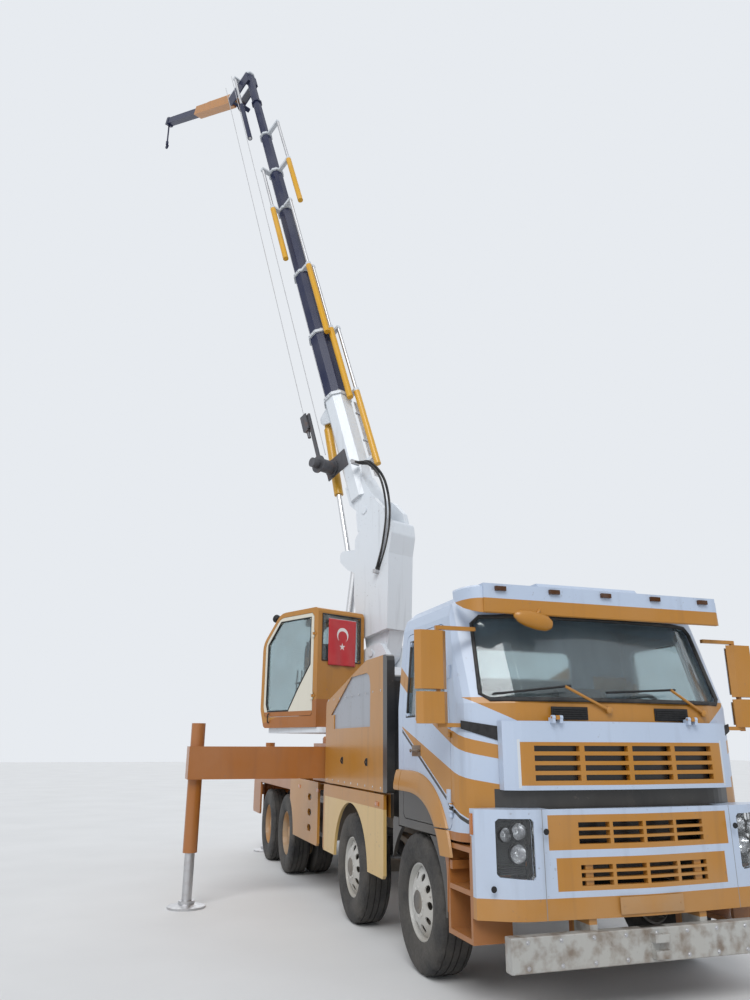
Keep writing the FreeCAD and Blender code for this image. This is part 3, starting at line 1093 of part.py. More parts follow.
def stages():
    for k, half, root, head, exposed in stage_table():
        name = f"section_{k}"
        wall = s.boom_step - s.boom_gap if k < 6 else 14
        tube = tube_section(name, half, wall, root - s.overlap, exposed + s.overlap)
        own = LANES[k - 1]
        pieces = [tube, head_plate(name, half, head, [own] + ([LANES[k]] if k < 5 else []))]
        cuts = [pad(f"{name}_mouth", section_outline(half - wall), "YZ", head - 200, 400)]
        if k < 6:
            pieces.append(rod(f"{name}_rod", "barrel_rod", exposed + 60,
                              (root - 60, own[0], s.boom_w + own[1]), "X"))
        if k < 5:
            outer, bore = barrel(name, LANES[k], head)
            pieces.append(outer)
            cuts.append(bore)
        if k < 6:
            node(name, cut(name, fuse(f"{name}_solid", pieces), cuts), BOOM)
            continue
        collar = head_plate("tip_collar", half, s.tip_collar, [own])
        outer, bore = barrel("tip", own, s.tip_collar)
        thin = rod("tip_rod", "barrel_rod", head - s.tip_collar + 60,
                   (s.tip_collar - 60, own[0], s.boom_w + own[1]), "X")
        cuts.append(pad("tip_mouth", section_outline(half - wall), "YZ", s.tip_collar - 200, 400))
        node(name, jib_adapter(name, pieces + [collar, outer, thin], cuts, head, half), BOOM)


def jib_adapter(name, pieces, cuts, head, half):
    """The last section carries the jib's bracket at its tip."""
    u, w = s.jib_pin_u, s.jib_pin_w
    cheeks = []
    for side, sign in SIDES:
        y = 122 if sign > 0 else -150
        cheeks.append(pad(f"jib_cheek_{side}", [(head - 420, s.boom_w + 60), (head - 420, s.boom_w - 150),
                                                (u - 330, w - 60, 60), (u - 60, w - 110, 60),
                                                (u + 110, w - 40, 60), (u + 90, w + 110, 60),
                                                (head - 40, s.boom_w - 120), (head - 40, s.boom_w + 60)],
                          "XZ", y, 28))
    blocks = [box(f"jib_block_{side}", (380, 60, 130),
                  (head - 400, 70 if sign > 0 else -130, s.boom_w - 65)) for side, sign in SIDES]
    pin = rod("jib_pin", 35, 300, ("jib_pin_u", -150, "jib_pin_w"), "Y")
    tie = box("jib_tie", (60, 300, 60), (u - 300, -150, w))
    body = cut(f"{name}_open", fuse(f"{name}_solid", pieces), cuts)
    return fuse(name, [body, *cheeks, *blocks, pin, tie])


# Jib: a short boom hinged on the last section, and its own sliding section with the load hook
def jib():
    h, e = s.jib_half, s.jib_ext_half
    outer = pad("jib_outer", [(-h, -h), (h, -h), (h, h), (-h, h)], "YZ", 90, "jib_length - 90")
    inner = pad("jib_inner", [(-e - 1, -e - 1), (e + 1, -e - 1), (e + 1, e + 1), (-e - 1, e + 1)], "YZ",
                300, "jib_length")
    boss = rod("jib_boss", 90, 230, (0, -115, 0), "Y")
    hole = rod("jib_hole", 35 + s.running_gap, 400, (0, -200, 0), "Y")
    ram = rod("jib_ram", 45, 1300, (350, 0, 175), "X")
    ram_foot = [box(f"jib_ram_foot_{k}", (50, 70, 110), (x, -35, 100)) for k, x in enumerate((420, 1500))]
    node("jib_boom", cut("jib_boom", fuse("jib_solid", [outer, boss, ram, *ram_foot]), [inner, hole]), JIB)
    reach = s.jib_length + s.jib_reach
    tube = pad("jib_ext_tube", [(-e, -e), (e, -e), (e, e), (-e, e)], "YZ", "jib_length - 350",
               "jib_reach + 350")
    hollow = pad("jib_ext_hollow", [(-e + 12, -e + 12), (e - 12, -e + 12), (e - 12, e - 12),
                                    (-e + 12, e - 12)], "YZ",
                 "jib_length - 360", "jib_reach + 200")
    head = box("jib_head", (140, 190, 210), (reach - 120, -95, -110))
    a = math.radians(s.jib_angle)
    down = Vector(-math.sin(a), 0, -math.cos(a))
    start = Vector(reach - 50, 0, -100)
    at = lambda d: tuple(start + down * d)
    chain = slanted_rod("hook_chain", 22, at(-30), at(s.hook_drop - 180))
    shank = slanted_rod("hook_shank", 38, at(s.hook_drop - 260), at(s.hook_drop - 150))
    curve = [(-18, 0), (22, 0), (22, -42), (52, -70), (58, -112), (28, -150), (-22, -158), (-68, -130),
             (-86, -84), (-50, -96), (-34, -112),
             (0, -122), (22, -104), (18, -82), (-18, -50)]
    bend = pad("hook_bend", curve, "XZ", -20, 40)
    bend.Placement = Placement(Vector(*at(s.hook_drop - 175)), Rotation(Vector(0, 1, 0), s.jib_angle))
    node("jib_section", fuse("jib_section", [cut("jib_ext_open", tube, [hollow]), head, chain, shank,
                                             bend]), JIB)


chassis()
axles()
knuckles()
wheels()
engine()
cab()
cab_interior()
bumper()
lid()
lamps()
fittings()
skirts()
towers()
deck()
crane_base()
outriggers()
turntable()
operator_cab()
boom_one()
cylinder("lift", (s.lift_base_r, 0, s.lift_base_z), (s.lift_eye_r, 0, s.lift_eye_z), s.lift_radius,
         s.lift_rod_radius,
         s.lift_barrel_length, 80, 40, 35, CRANE)
boom_two()
cylinder("bend", (s.bend_head_u, 0, s.bend_head_w), (s.bend_u, 0, s.bend_w), s.bend_radius, s.bend_rod_radius,
         s.bend_barrel_length, 70, 32, 30, BOOM)
stages()
jib()

doc.recompute()
broken = [obj.Name for obj in doc.Objects if "Invalid" in obj.State or "Error" in obj.State]
if broken:
    raise RuntimeError(f"objects that failed: {broken}")
for obj in NODES:
    if obj.Shape.isNull() or not obj.Shape.isValid() or not obj.Shape.Solids:
        raise RuntimeError(f"{obj.Label} has no valid solid")

os.makedirs("parts", exist_ok=True)
for obj in NODES:
    obj.Shape.exportStep(os.path.join("parts", f"{obj.Label}.step"))
    print(obj.Label, len(obj.Shape.Solids), round(obj.Shape.Volume / 1e9, 4))
whole = Part.makeCompound([obj.Shape for obj in NODES]).optimalBoundingBox(False, True)
print("nodes", len(NODES), "box", [round(v, 1) for v in (whole.XMin, whole.XMax, whole.YMin, whole.YMax,
                                                         whole.ZMin, whole.ZMax)])
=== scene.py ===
import math

import bmesh
import bpy
from mathutils import Matrix, Vector


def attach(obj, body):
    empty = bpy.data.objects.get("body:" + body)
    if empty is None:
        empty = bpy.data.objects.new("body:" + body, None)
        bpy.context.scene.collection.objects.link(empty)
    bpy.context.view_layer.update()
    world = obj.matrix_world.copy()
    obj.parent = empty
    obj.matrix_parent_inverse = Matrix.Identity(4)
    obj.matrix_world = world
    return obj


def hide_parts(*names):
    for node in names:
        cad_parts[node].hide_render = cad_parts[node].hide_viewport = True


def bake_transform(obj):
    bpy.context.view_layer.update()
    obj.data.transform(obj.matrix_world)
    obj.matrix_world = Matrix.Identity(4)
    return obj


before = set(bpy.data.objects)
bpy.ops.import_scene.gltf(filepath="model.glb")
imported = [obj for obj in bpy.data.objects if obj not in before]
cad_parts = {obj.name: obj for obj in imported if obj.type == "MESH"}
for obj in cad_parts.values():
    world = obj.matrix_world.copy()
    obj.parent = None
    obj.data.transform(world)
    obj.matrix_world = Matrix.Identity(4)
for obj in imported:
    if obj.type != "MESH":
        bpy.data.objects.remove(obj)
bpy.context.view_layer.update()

# Frames: the truck (x forward, y left), the crane (r outward, l left), the second boom (u along it) and the jib.
TRUCK = Matrix.Translation((5.72, 0.51, 0))
CRANE = TRUCK @ Matrix.Translation((-4.5, 0, 0)) @ Matrix.Rotation(math.radians(205), 4, "Z")
BOOM = CRANE @ Matrix.Translation((0.18, 0, 5.22)) @ Matrix.Rotation(math.radians(-70), 4, "Y")
JIB = BOOM @ Matrix.Translation((13.15, 0, -0.83)) @ Matrix.Rotation(math.radians(43), 4, "Y")

SIDES = (("left", 1), ("right", -1))
AXLES = (0.0, -1.94, -5.27, -6.64)
# The lip round the front wheel: an arc that is fuller than an ellipse, level behind its centre.
ARCH_CENTRE = (-0.15, 0.52)
ARCH_INNER = (0.82, 0.83)
ARCH_OUTER = (0.955, 1.0)
ARCH_POWER = 2.6
TYRE_RADIUS = 0.52
TYRE_WIDTH = 0.30
TWIN_WIDTH = 0.285
TWIN_GAP = 0.06
TRACK = 1.24
RIM_RADIUS = 0.286

BOOM_AXIS = -0.167
HEADS = (2.53, 4.08, 5.79, 7.83, 9.18, 10.61, 13.27)
HALVES = (0.21, 0.19, 0.17, 0.15, 0.13, 0.11, 0.09)
# Cylinders beside the boom: across, above its axis, length of the barrel.
LANES = ((-0.13, 0.38, 1.65), (0, 0.31, 1.74), (0.12, 0.31, 1.90), (0.32, -0.05, 1.65), (0, 0.47, 1.50),
         (0.27, -0.24, 1.38))
BARREL_RADIUS = 0.055

# WHITE is the cab's white paint darkened to a blue-grey: painted shade, white as it looks out of the sun.
WHITE = (0.45, 0.53, 0.66, 1)
CREAM = (0.66, 0.63, 0.53, 1)
GOLD = (0.42, 0.175, 0.010, 1)
# SUNLIT_GOLD is the gold paint made paler and yellower: painted sunlight on the skirts.
SUNLIT_GOLD = (0.60, 0.40, 0.14, 1)
ORANGE = (0.33, 0.105, 0.006, 1)
YELLOW = (0.66, 0.34, 0.012, 1)
NAVY = (0.006, 0.011, 0.048, 1)
CRANE_WHITE = (0.70, 0.74, 0.78, 1)
COLLAR = (0.58, 0.61, 0.64, 1)
GREY = (0.19, 0.20, 0.21, 1)
BLACK = (0.006, 0.006, 0.007, 1)
STEEL = (0.52, 0.52, 0.53, 1)
PRIMER = (0.16, 0.12, 0.10, 1)
DUST = (0.34, 0.29, 0.22, 1)
GRIME = (0.06, 0.05, 0.045, 1)


class Finish:
    """A procedural material. A value that is a socket is linked, any other is set."""

    def __init__(self, name):
        self.material = bpy.data.materials.new(name)
        self.material.use_nodes = True
        self.tree = self.material.node_tree
        self.shader = self.tree.nodes["Principled BSDF"]
        self.place = self.node("ShaderNodeTexCoord").outputs["Object"]

    def node(self, kind, **settings):
        made = self.tree.nodes.new(kind)
        for key, value in settings.items():
            setattr(made, key, value)
        return made

    def put(self, value, socket):
        if isinstance(value, bpy.types.NodeSocket):
            self.tree.links.new(value, socket)
        else:
            socket.default_value = value

    def shade(self, **values):
        for key, value in values.items():
            self.put(value, self.shader.inputs[key.replace("_", " ")])

    def math(self, operation, *values):
        made = self.node("ShaderNodeMath", operation=operation)
        for value, socket in zip(values, made.inputs):
            self.put(value, socket)
        return made.outputs[0]

    def along(self, matrix, axis):
        """The coordinate of a surface point along one axis of a frame."""
        direction = matrix.to_3x3().col[axis]
        dot = self.node("ShaderNodeVectorMath", operation="DOT_PRODUCT")
        self.put(self.place, dot.inputs[0])
        dot.inputs[1].default_value = direction
        return self.math("SUBTRACT", dot.outputs["Value"], direction.dot(matrix.translation))

    def noise(self, scale, detail=3.0, stretch=(1, 1, 1)):
        mapping = self.node("ShaderNodeMapping")
        mapping.inputs["Scale"].default_value = stretch
        self.put(self.place, mapping.inputs["Vector"])
        made = self.node("ShaderNodeTexNoise")
        self.put(mapping.outputs[0], made.inputs["Vector"])
        made.inputs["Scale"].default_value = scale
        made.inputs["Detail"].default_value = detail
        return made.outputs[0]

    def ramp(self, value, low, high, start=0.0, end=1.0):
        made = self.node("ShaderNodeMapRange")
        for number, socket in zip((value, low, high, start, end), made.inputs):
            self.put(number, socket)
        return made.outputs[0]

    def between(self, value, low, high):
        return self.math("COMPARE", value, (low + high) / 2, (high - low) / 2)

    def both(self, first, *others):
        for other in others:
            first = self.math("MULTIPLY", first, other)
        return first

    def either(self, first, *others):
        for other in others:
            first = self.math("MAXIMUM", first, other)
        return first

    def mix(self, share, first, second):
        made = self.node("ShaderNodeMix", data_type="RGBA")
        self.put(share, made.inputs[0])
        self.put(first, made.inputs[6])
        self.put(second, made.inputs[7])
        return made.outputs[2]

    def layers(self, base, *coats):
        for share, colour in coats:
            base = self.mix(share, base, colour)
        return base

    def distance(self, first, second, at_first, at_second):
        a = self.math("SUBTRACT", first, at_first)
        b = self.math("SUBTRACT", second, at_second)
        squares = self.math("ADD", self.math("MULTIPLY", a, a), self.math("MULTIPLY", b, b))
        return self.math("SQRT", squares)

    def bump(self, height, strength, depth=0.001):
        made = self.node("ShaderNodeBump")
        made.inputs["Strength"].default_value = strength
        made.inputs["Distance"].default_value = depth
        self.put(height, made.inputs["Height"])
        self.put(made.outputs[0], self.shader.inputs["Normal"])


def weathered(finish, colour, dust=0.5, chips=0.5, roughness=0.30, metal=0.0, gloss=0.5):
    """Road dust low down, rain streaks, faded patches and chipped paint over a colour."""
    height = finish.along(TRUCK, 2)
    patches = finish.noise(1.4, 4)
    faded = finish.mix(finish.ramp(patches, 0.35, 0.7, 0.0, 0.05), colour, (0.75, 0.74, 0.70, 1))
    streaks = finish.ramp(finish.noise(9, 6, (1, 1, 0.10)), 0.55, 0.80, 0.0, 0.20)
    low = finish.both(finish.ramp(height, 1.7, 0.3), finish.ramp(finish.noise(2.6, 6), 0.28, 0.62))
    worn = finish.both(finish.ramp(finish.noise(31, 4), 0.66, 0.70), finish.ramp(finish.noise(2.2, 2), 0.45, 0.62))
    bare = finish.math("MULTIPLY", worn, chips)
    settled = finish.math("MULTIPLY", low, dust)
    colour = finish.layers(faded, (streaks, GRIME), (settled, DUST), (bare, PRIMER))
    rough = finish.math("ADD", finish.ramp(settled, 0, 1, roughness, 0.85), finish.ramp(patches, 0.3, 0.7, 0, 0.12))
    finish.shade(Base_Color=colour, Roughness=rough, Metallic=metal)
    finish.shader.inputs["Specular IOR Level"].default_value = gloss
    finish.shader.inputs["Coat Weight"].default_value = 0.3 * gloss
    finish.shader.inputs["Coat Roughness"].default_value = 0.12
    finish.bump(finish.math("ADD", finish.noise(180, 2), finish.math("MULTIPLY", bare, -3)), 0.12)
    return finish.material


def paint(name, colour, **wear):
    return weathered(Finish(name), colour, **wear)


def rubber(name, colour=(0.02, 0.02, 0.021, 1)):
    finish = Finish(name)
    dusty = finish.ramp(finish.noise(6, 6), 0.4, 0.75, 0.0, 0.35)
    finish.shade(Base_Color=finish.mix(dusty, colour, (0.15, 0.135, 0.115, 1)))
    finish.shade(Roughness=finish.ramp(finish.noise(40, 3), 0.3, 0.7, 0.6, 0.85))
    finish.bump(finish.noise(260, 3), 0.25)
    return finish.material


def tyre_rubber():
    """Black rubber with greyer dusty patches and a fine grain."""
    finish = Finish("tyre_rubber")
    dusty = finish.ramp(finish.noise(3.5, 7), 0.34, 0.7, 0.05, 0.6)
    finish.shade(Base_Color=finish.mix(dusty, (0.018, 0.018, 0.019, 1), (0.12, 0.108, 0.092, 1)))
    finish.shade(Roughness=finish.ramp(finish.noise(50, 3), 0.3, 0.7, 0.68, 0.9))
    finish.bump(finish.noise(150, 4), 0.35, 0.002)
    return finish.material


def bare_metal(name, colour=STEEL, roughness=0.28, rust=0.25):
    finish = Finish(name)
    rusted = finish.ramp(finish.noise(9, 7), 0.54, 0.72, 0.0, rust)
    finish.shade(Base_Color=finish.mix(rusted, colour, (0.17, 0.075, 0.035, 1)))
    finish.shade(Metallic=finish.ramp(rusted, 0, 1, 1, 0.1))
    finish.shade(Roughness=finish.ramp(finish.noise(24, 4, (1, 1, 0.2)), 0.3, 0.7, roughness, roughness + 0.22))
    finish.bump(finish.noise(120, 3), 0.08)
    return finish.material


def glass(name, colour=(0.62, 0.72, 0.74, 1), clear=0.92):
    """Thin tinted glass with a patchy film of dust."""
    finish = Finish(name)
    film = finish.ramp(finish.noise(2.5, 5), 0.4, 0.8, 0.0, 0.35)
    finish.shade(Base_Color=finish.mix(film, colour, (0.45, 0.47, 0.46, 1)))
    finish.shade(Roughness=finish.ramp(finish.noise(5, 4), 0.3, 0.8, 0.02, 0.14))
    finish.shader.inputs["Transmission Weight"].default_value = clear
    finish.shader.inputs["IOR"].default_value = 1.45
    return finish.material


def plastic(name, colour, roughness=0.55):
    finish = Finish(name)
    worn = finish.ramp(finish.noise(4, 5), 0.4, 0.7, 0.0, 0.3)
    finish.shade(Base_Color=finish.mix(worn, colour, tuple(min(1, c * 1.6 + 0.008) for c in colour[:3]) + (1,)))
    finish.shade(Roughness=finish.ramp(finish.noise(30, 3), 0.3, 0.7, roughness, roughness + 0.2))
    finish.bump(finish.noise(340, 2), 0.2)
    return finish.material


def lens(name, colour):
    finish = Finish(name)
    ribs = finish.node("ShaderNodeTexWave", wave_type="BANDS", bands_direction="Y")
    finish.put(finish.place, ribs.inputs["Vector"])
    ribs.inputs["Scale"].default_value = 26
    finish.shade(Base_Color=finish.mix(finish.ramp(finish.noise(7, 4), 0.4, 0.8, 0, 0.25), colour, DUST))
    finish.shade(Roughness=finish.ramp(finish.noise(12, 3), 0.3, 0.7, 0.08, 0.2))
    finish.shader.inputs["Transmission Weight"].default_value = 0.45
    finish.bump(ribs.outputs[1], 0.3, 0.002)
    return finish.material


def inside_arch(finish, x, z):
    """Where a point lies inside the inner edge of the front wheel's arch lip."""
    forward = finish.math("MAXIMUM", finish.math("SUBTRACT", x, ARCH_CENTRE[0]), 0.0)
    across = finish.math("POWER", finish.math("DIVIDE", forward, ARCH_INNER[0]), ARCH_POWER)
    rise = finish.math("MAXIMUM", finish.math("SUBTRACT", z, ARCH_CENTRE[1]), 0.0)
    up = finish.math("POWER", finish.math("DIVIDE", rise, ARCH_INNER[1]), ARCH_POWER)
    return finish.math("LESS_THAN", finish.math("ADD", across, up), 1.0)


def cab_livery():
    """White cab: two gold stripes sweep down each side with a black line; the scuttle is gold and the step orange.
    Black inside the front wheel's arch and behind the grille is painted shade.
    """
    finish = Finish("cab_livery")
    x = finish.along(TRUCK, 0)
    y = finish.math("ABSOLUTE", finish.along(TRUCK, 1))
    z = finish.along(TRUCK, 2)
    square = finish.math("MULTIPLY", x, x)
    upper = finish.math("ADD", finish.math("MULTIPLY_ADD", x, -0.50, 2.205), finish.math("MULTIPLY", square, 0.055))
    width = finish.math("MULTIPLY_ADD", x, -0.03, 0.13)
    down = finish.math("SUBTRACT", upper, z)
    upper_stripe = finish.both(finish.math("GREATER_THAN", down, 0.0), finish.math("LESS_THAN", down, width))
    top = finish.math("MULTIPLY_ADD", x, -0.31, 1.79)
    low = finish.math("MULTIPLY_ADD", x, -0.52, 1.715)
    lower_stripe = finish.both(finish.math("LESS_THAN", z, top), finish.math("GREATER_THAN", z, low))
    line = finish.between(finish.math("SUBTRACT", z, low), -0.040, -0.012)
    side = finish.math("GREATER_THAN", y, 0.80)
    flank = finish.both(side, finish.math("LESS_THAN", x, 1.17))
    behind = finish.math("GREATER_THAN", x, -0.30)
    corner = finish.math("MAXIMUM", finish.math("SUBTRACT", y, 0.86), 0.0)
    scuttle = finish.both(finish.math("GREATER_THAN", x, 0.86), finish.math("LESS_THAN", z, 2.075),
                          finish.math("GREATER_THAN", z, finish.math("MULTIPLY_ADD", corner, 0.50, 1.90)))
    # Painted shade: the shell's front wall behind the grille slots is black, so that the slots read dark.
    grille_shade = finish.both(finish.math("GREATER_THAN", x, 0.95), finish.between(z, 1.05, 1.89),
                             finish.math("LESS_THAN", y, 0.98))
    band = finish.both(finish.math("GREATER_THAN", x, 0.95), finish.between(z, 1.25, 1.425),
                       finish.math("LESS_THAN", y, 1.03))
    # Painted shade: black inside the arch lip stands for the dark, deeper opening over the front wheel.
    arch_shade = finish.both(side, inside_arch(finish, x, z))
    step = finish.both(finish.math("GREATER_THAN", x, 0.50), finish.math("LESS_THAN", z, 1.12))
    colour = finish.layers(WHITE, (finish.both(flank, upper_stripe), GOLD),
                           (finish.both(flank, lower_stripe, behind), GOLD),
                           (finish.both(flank, line, behind), BLACK), (scuttle, GOLD), (step, ORANGE), (arch_shade, BLACK),
                           (grille_shade, BLACK), (band, BLACK))
    return weathered(finish, colour, dust=0.25, chips=0.25)


def lid_livery():
    """White front lid with the gold frame of its grille."""
    finish = Finish("lid_livery")
    y = finish.math("ABSOLUTE", finish.along(TRUCK, 1))
    z = finish.along(TRUCK, 2)
    frame_area = finish.both(finish.math("LESS_THAN", y, 0.885), finish.between(z, 1.452, 1.752))
    shade = finish.both(finish.between(y, 0.885, 0.905), finish.between(z, 1.435, 1.77))
    return weathered(finish, finish.layers(WHITE, (shade, COLLAR), (frame_area, GOLD)), dust=0.3, chips=0.3)


def bumper_livery():
    """White bumper, gold round both grilles and along the bottom, orange steps, pale worn steel bar, and black painted
    shade behind the slots.
    """
    finish = Finish("bumper_livery")
    x = finish.along(TRUCK, 0)
    y = finish.math("ABSOLUTE", finish.along(TRUCK, 1))
    z = finish.along(TRUCK, 2)
    upper = finish.both(finish.math("LESS_THAN", y, 0.76), finish.between(z, 1.035, 1.262))
    lower = finish.both(finish.math("LESS_THAN", y, 0.71), finish.between(z, 0.775, 0.985))
    bottom = finish.math("LESS_THAN", z, 0.735)
    bar = finish.both(finish.math("LESS_THAN", z, 0.56), finish.math("GREATER_THAN", x, 1.12))
    step = finish.both(finish.math("LESS_THAN", x, 1.10), finish.math("LESS_THAN", z, 1.12))
    # Painted shade: the inner faces behind the slots, mounts included, are black so that the slots read dark.
    slot_shade = finish.both(finish.math("LESS_THAN", x, 1.30), finish.math("LESS_THAN", y, 0.74),
                       finish.math("GREATER_THAN", z, 0.60))
    seam = finish.both(finish.between(y, 0.797, 0.802), finish.math("GREATER_THAN", z, 0.60))
    jaw = finish.both(finish.math("LESS_THAN", y, 0.10), finish.math("LESS_THAN", z, 0.58))
    pale = finish.mix(finish.ramp(finish.noise(9, 7), 0.45, 0.7), (0.40, 0.40, 0.38, 1), (0.16, 0.12, 0.09, 1))
    colour = finish.layers(WHITE, (upper, GOLD), (lower, GOLD), (bottom, GOLD), (step, ORANGE), (bar, pale),
                           (finish.both(bar, jaw, finish.math("LESS_THAN", x, 1.36)), BLACK), (slot_shade, BLACK), (seam, GREY))
    return weathered(finish, colour, dust=0.2, chips=0.45)


def tower_livery():
    """Gold panels with a dark strip next to the cab and a grey panel, pointed at the front."""
    finish = Finish("tower_livery")
    x = finish.along(TRUCK, 0)
    z = finish.along(TRUCK, 2)
    y = finish.math("ABSOLUTE", finish.along(TRUCK, 1))
    strip = finish.math("GREATER_THAN", x, -0.83)
    grey = finish.both(finish.between(y, 1.215, 1.2375), finish.between(x, -2.80, -1.22), finish.between(z, 1.88, 2.46))
    return weathered(finish, finish.layers(GOLD, (grey, (0.30, 0.32, 0.36, 1)), (strip, BLACK)), dust=0.3, chips=0.6)


def fitting_livery():
    """Gold mirrors and the sun visor, white along its top, with a white roof box."""
    finish = Finish("fitting_livery")
    z = finish.along(TRUCK, 2)
    white = finish.math("GREATER_THAN", z, 2.815)
    return weathered(finish, finish.layers(GOLD, (white, WHITE)), dust=0.2, chips=0.3)


def skirt_livery():
    """Gold skirts with painted sunlight as a paler gold from the second axle forward, orange along the deck, and black
    painted shade inside the front arch.
    """
    finish = Finish("skirt_livery")
    x = finish.along(TRUCK, 0)
    # Painted sunlight: a paler gold on the skirts' front part.
    pale = finish.both(finish.between(x, -3.0, -0.75), finish.math("LESS_THAN", finish.along(TRUCK, 2), 1.15))
    rear = finish.math("LESS_THAN", x, -4.94)
    front = finish.math("GREATER_THAN", x, -0.62)
    # Painted shade: black inside the arch lip on the fender stands for the dark opening over the front wheel.
    arch_shade = finish.both(front, inside_arch(finish, x, finish.along(TRUCK, 2)), finish.math("LESS_THAN", x, 0.645))
    colour = finish.layers(GOLD, (pale, SUNLIT_GOLD), (finish.either(rear, front), ORANGE), (arch_shade, BLACK))
    return weathered(finish, colour, dust=0.15, chips=0.6)


def operator_livery():
    """Gold body with orange floor panels; every face inside the cab, walls included, is near-black."""
    finish = Finish("operator_livery")
    z = finish.along(CRANE, 2)
    r = finish.along(CRANE, 0)
    l = finish.along(CRANE, 1)
    orange = finish.math("LESS_THAN", z, finish.math("MULTIPLY_ADD", r, -0.25, 2.35))
    inside = finish.both(finish.between(r, 0.152, 1.378), finish.between(l, 0.342, 1.128), finish.between(z, 1.992, 3.548))
    inside_dark = (0.035, 0.036, 0.040, 1)
    return weathered(finish, finish.layers(GOLD, (orange, ORANGE), (inside, inside_dark)), dust=0.1, chips=0.4)


def operator_door_livery():
    """Cream door with an orange foot."""
    finish = Finish("operator_door_livery")
    low = finish.math("LESS_THAN", finish.along(CRANE, 2), 2.17)
    return weathered(finish, finish.layers(CREAM, (low, ORANGE)), dust=0.1, chips=0.4)


def lamp_lenses():
    """Clear headlamp lenses, red tail lamps and dark amber markers on the visor."""
    finish = Finish("lamp_lenses")
    x = finish.along(TRUCK, 0)
    marker = finish.math("GREATER_THAN", finish.along(TRUCK, 2), 2.5)
    tail = finish.math("LESS_THAN", x, -5.0)
    film = finish.ramp(finish.noise(5, 5), 0.45, 0.8, 0.0, 0.25)
    tint = finish.layers((0.90, 0.92, 0.93, 1), (marker, (0.10, 0.035, 0.008, 1)), (tail, (0.40, 0.01, 0.01, 1)))
    finish.shade(Base_Color=finish.mix(film, tint, (0.5, 0.5, 0.48, 1)))
    finish.shade(Roughness=finish.ramp(finish.noise(9, 4), 0.4, 0.8, 0.01, 0.08))
    solid = finish.either(marker, tail)
    finish.shade(Transmission_Weight=finish.math("MULTIPLY_ADD", solid, -0.7, 0.97))
    finish.shader.inputs["IOR"].default_value = 1.25
    return finish.material


def boom_livery(name, base, stage):
    """A boom section: collar, the yellow barrel that it carries and the polished rod that pushes it."""
    finish = Finish(name)
    u = finish.along(BOOM, 0)
    l = finish.along(BOOM, 1)
    w = finish.math("SUBTRACT", finish.along(BOOM, 2), BOOM_AXIS)
    head = HEADS[stage]
    collar = finish.between(u, head - 0.066, head + 0.006)
    coats = [(collar, COLLAR)]
    metal = 0.0
    if stage > 0:
        rod_l, rod_w, length = LANES[stage - 1]
        rod = finish.math("LESS_THAN", finish.distance(l, w, rod_l, rod_w), 0.036)
        metal = finish.both(rod, finish.math("LESS_THAN", u, head - 0.07))
        coats.append((metal, STEEL))
    if stage < len(LANES):
        tube_l, tube_w, length = LANES[stage]
        tube = finish.both(finish.math("LESS_THAN", finish.distance(l, w, tube_l, tube_w), 0.0625),
                           finish.between(u, head - length - 0.05, head - 0.066))
        coats.append((tube, YELLOW))
    return weathered(finish, finish.layers(base, *coats), dust=0.0, chips=0.35, metal=metal,
                     gloss=0.5 if stage == 0 else 0.2)


def cloth_red():
    """Woven red cloth with a white crescent and, below it, a white star, measured in the crane's frame."""
    finish = Finish("flag_cloth")
    l = finish.along(CRANE, 1)
    z = finish.along(CRANE, 2)
    outer = finish.math("LESS_THAN", finish.distance(l, z, 0.735, 3.22), 0.105)
    inner = finish.math("GREATER_THAN", finish.distance(l, z, 0.735, 3.194), 0.084)
    across = finish.math("SUBTRACT", l, 0.735)
    up = finish.math("SUBTRACT", z, 3.055)
    turn = finish.math("ARCTAN2", across, up)
    fold = finish.math("PINGPONG", turn, math.pi / 5)
    reach = finish.distance(l, z, 0.735, 3.055)
    edge = finish.math("DIVIDE", 0.0165, finish.math("COSINE", finish.math("SUBTRACT", math.radians(72), fold)))
    star = finish.math("LESS_THAN", reach, edge)
    white = finish.either(finish.both(outer, inner), star)
    weave = finish.node("ShaderNodeTexWave", wave_type="BANDS", bands_direction="Z")
    finish.put(finish.place, weave.inputs["Vector"])
    weave.inputs["Scale"].default_value = 160
    patches = finish.ramp(finish.noise(5, 4), 0.4, 0.7, 0.0, 0.3)
    faded = finish.mix(patches, (0.50, 0.022, 0.03, 1), (0.56, 0.09, 0.08, 1))
    finish.shade(Base_Color=finish.mix(white, faded, (0.78, 0.76, 0.74, 1)), Roughness=0.85)
    finish.shader.inputs["Sheen Weight"].default_value = 0.3
    finish.bump(weave.outputs[1], 0.3)
    return finish.material


def floor_finish():
    finish = Finish("pale_floor")
    patches = finish.ramp(finish.noise(0.7, 5), 0.3, 0.7, 0.0, 1.0)
    finish.shade(Base_Color=finish.mix(patches, (0.70, 0.70, 0.69, 1), (0.74, 0.74, 0.73, 1)), Roughness=0.8)
    finish.bump(finish.noise(60, 3), 0.05)
    return finish.material


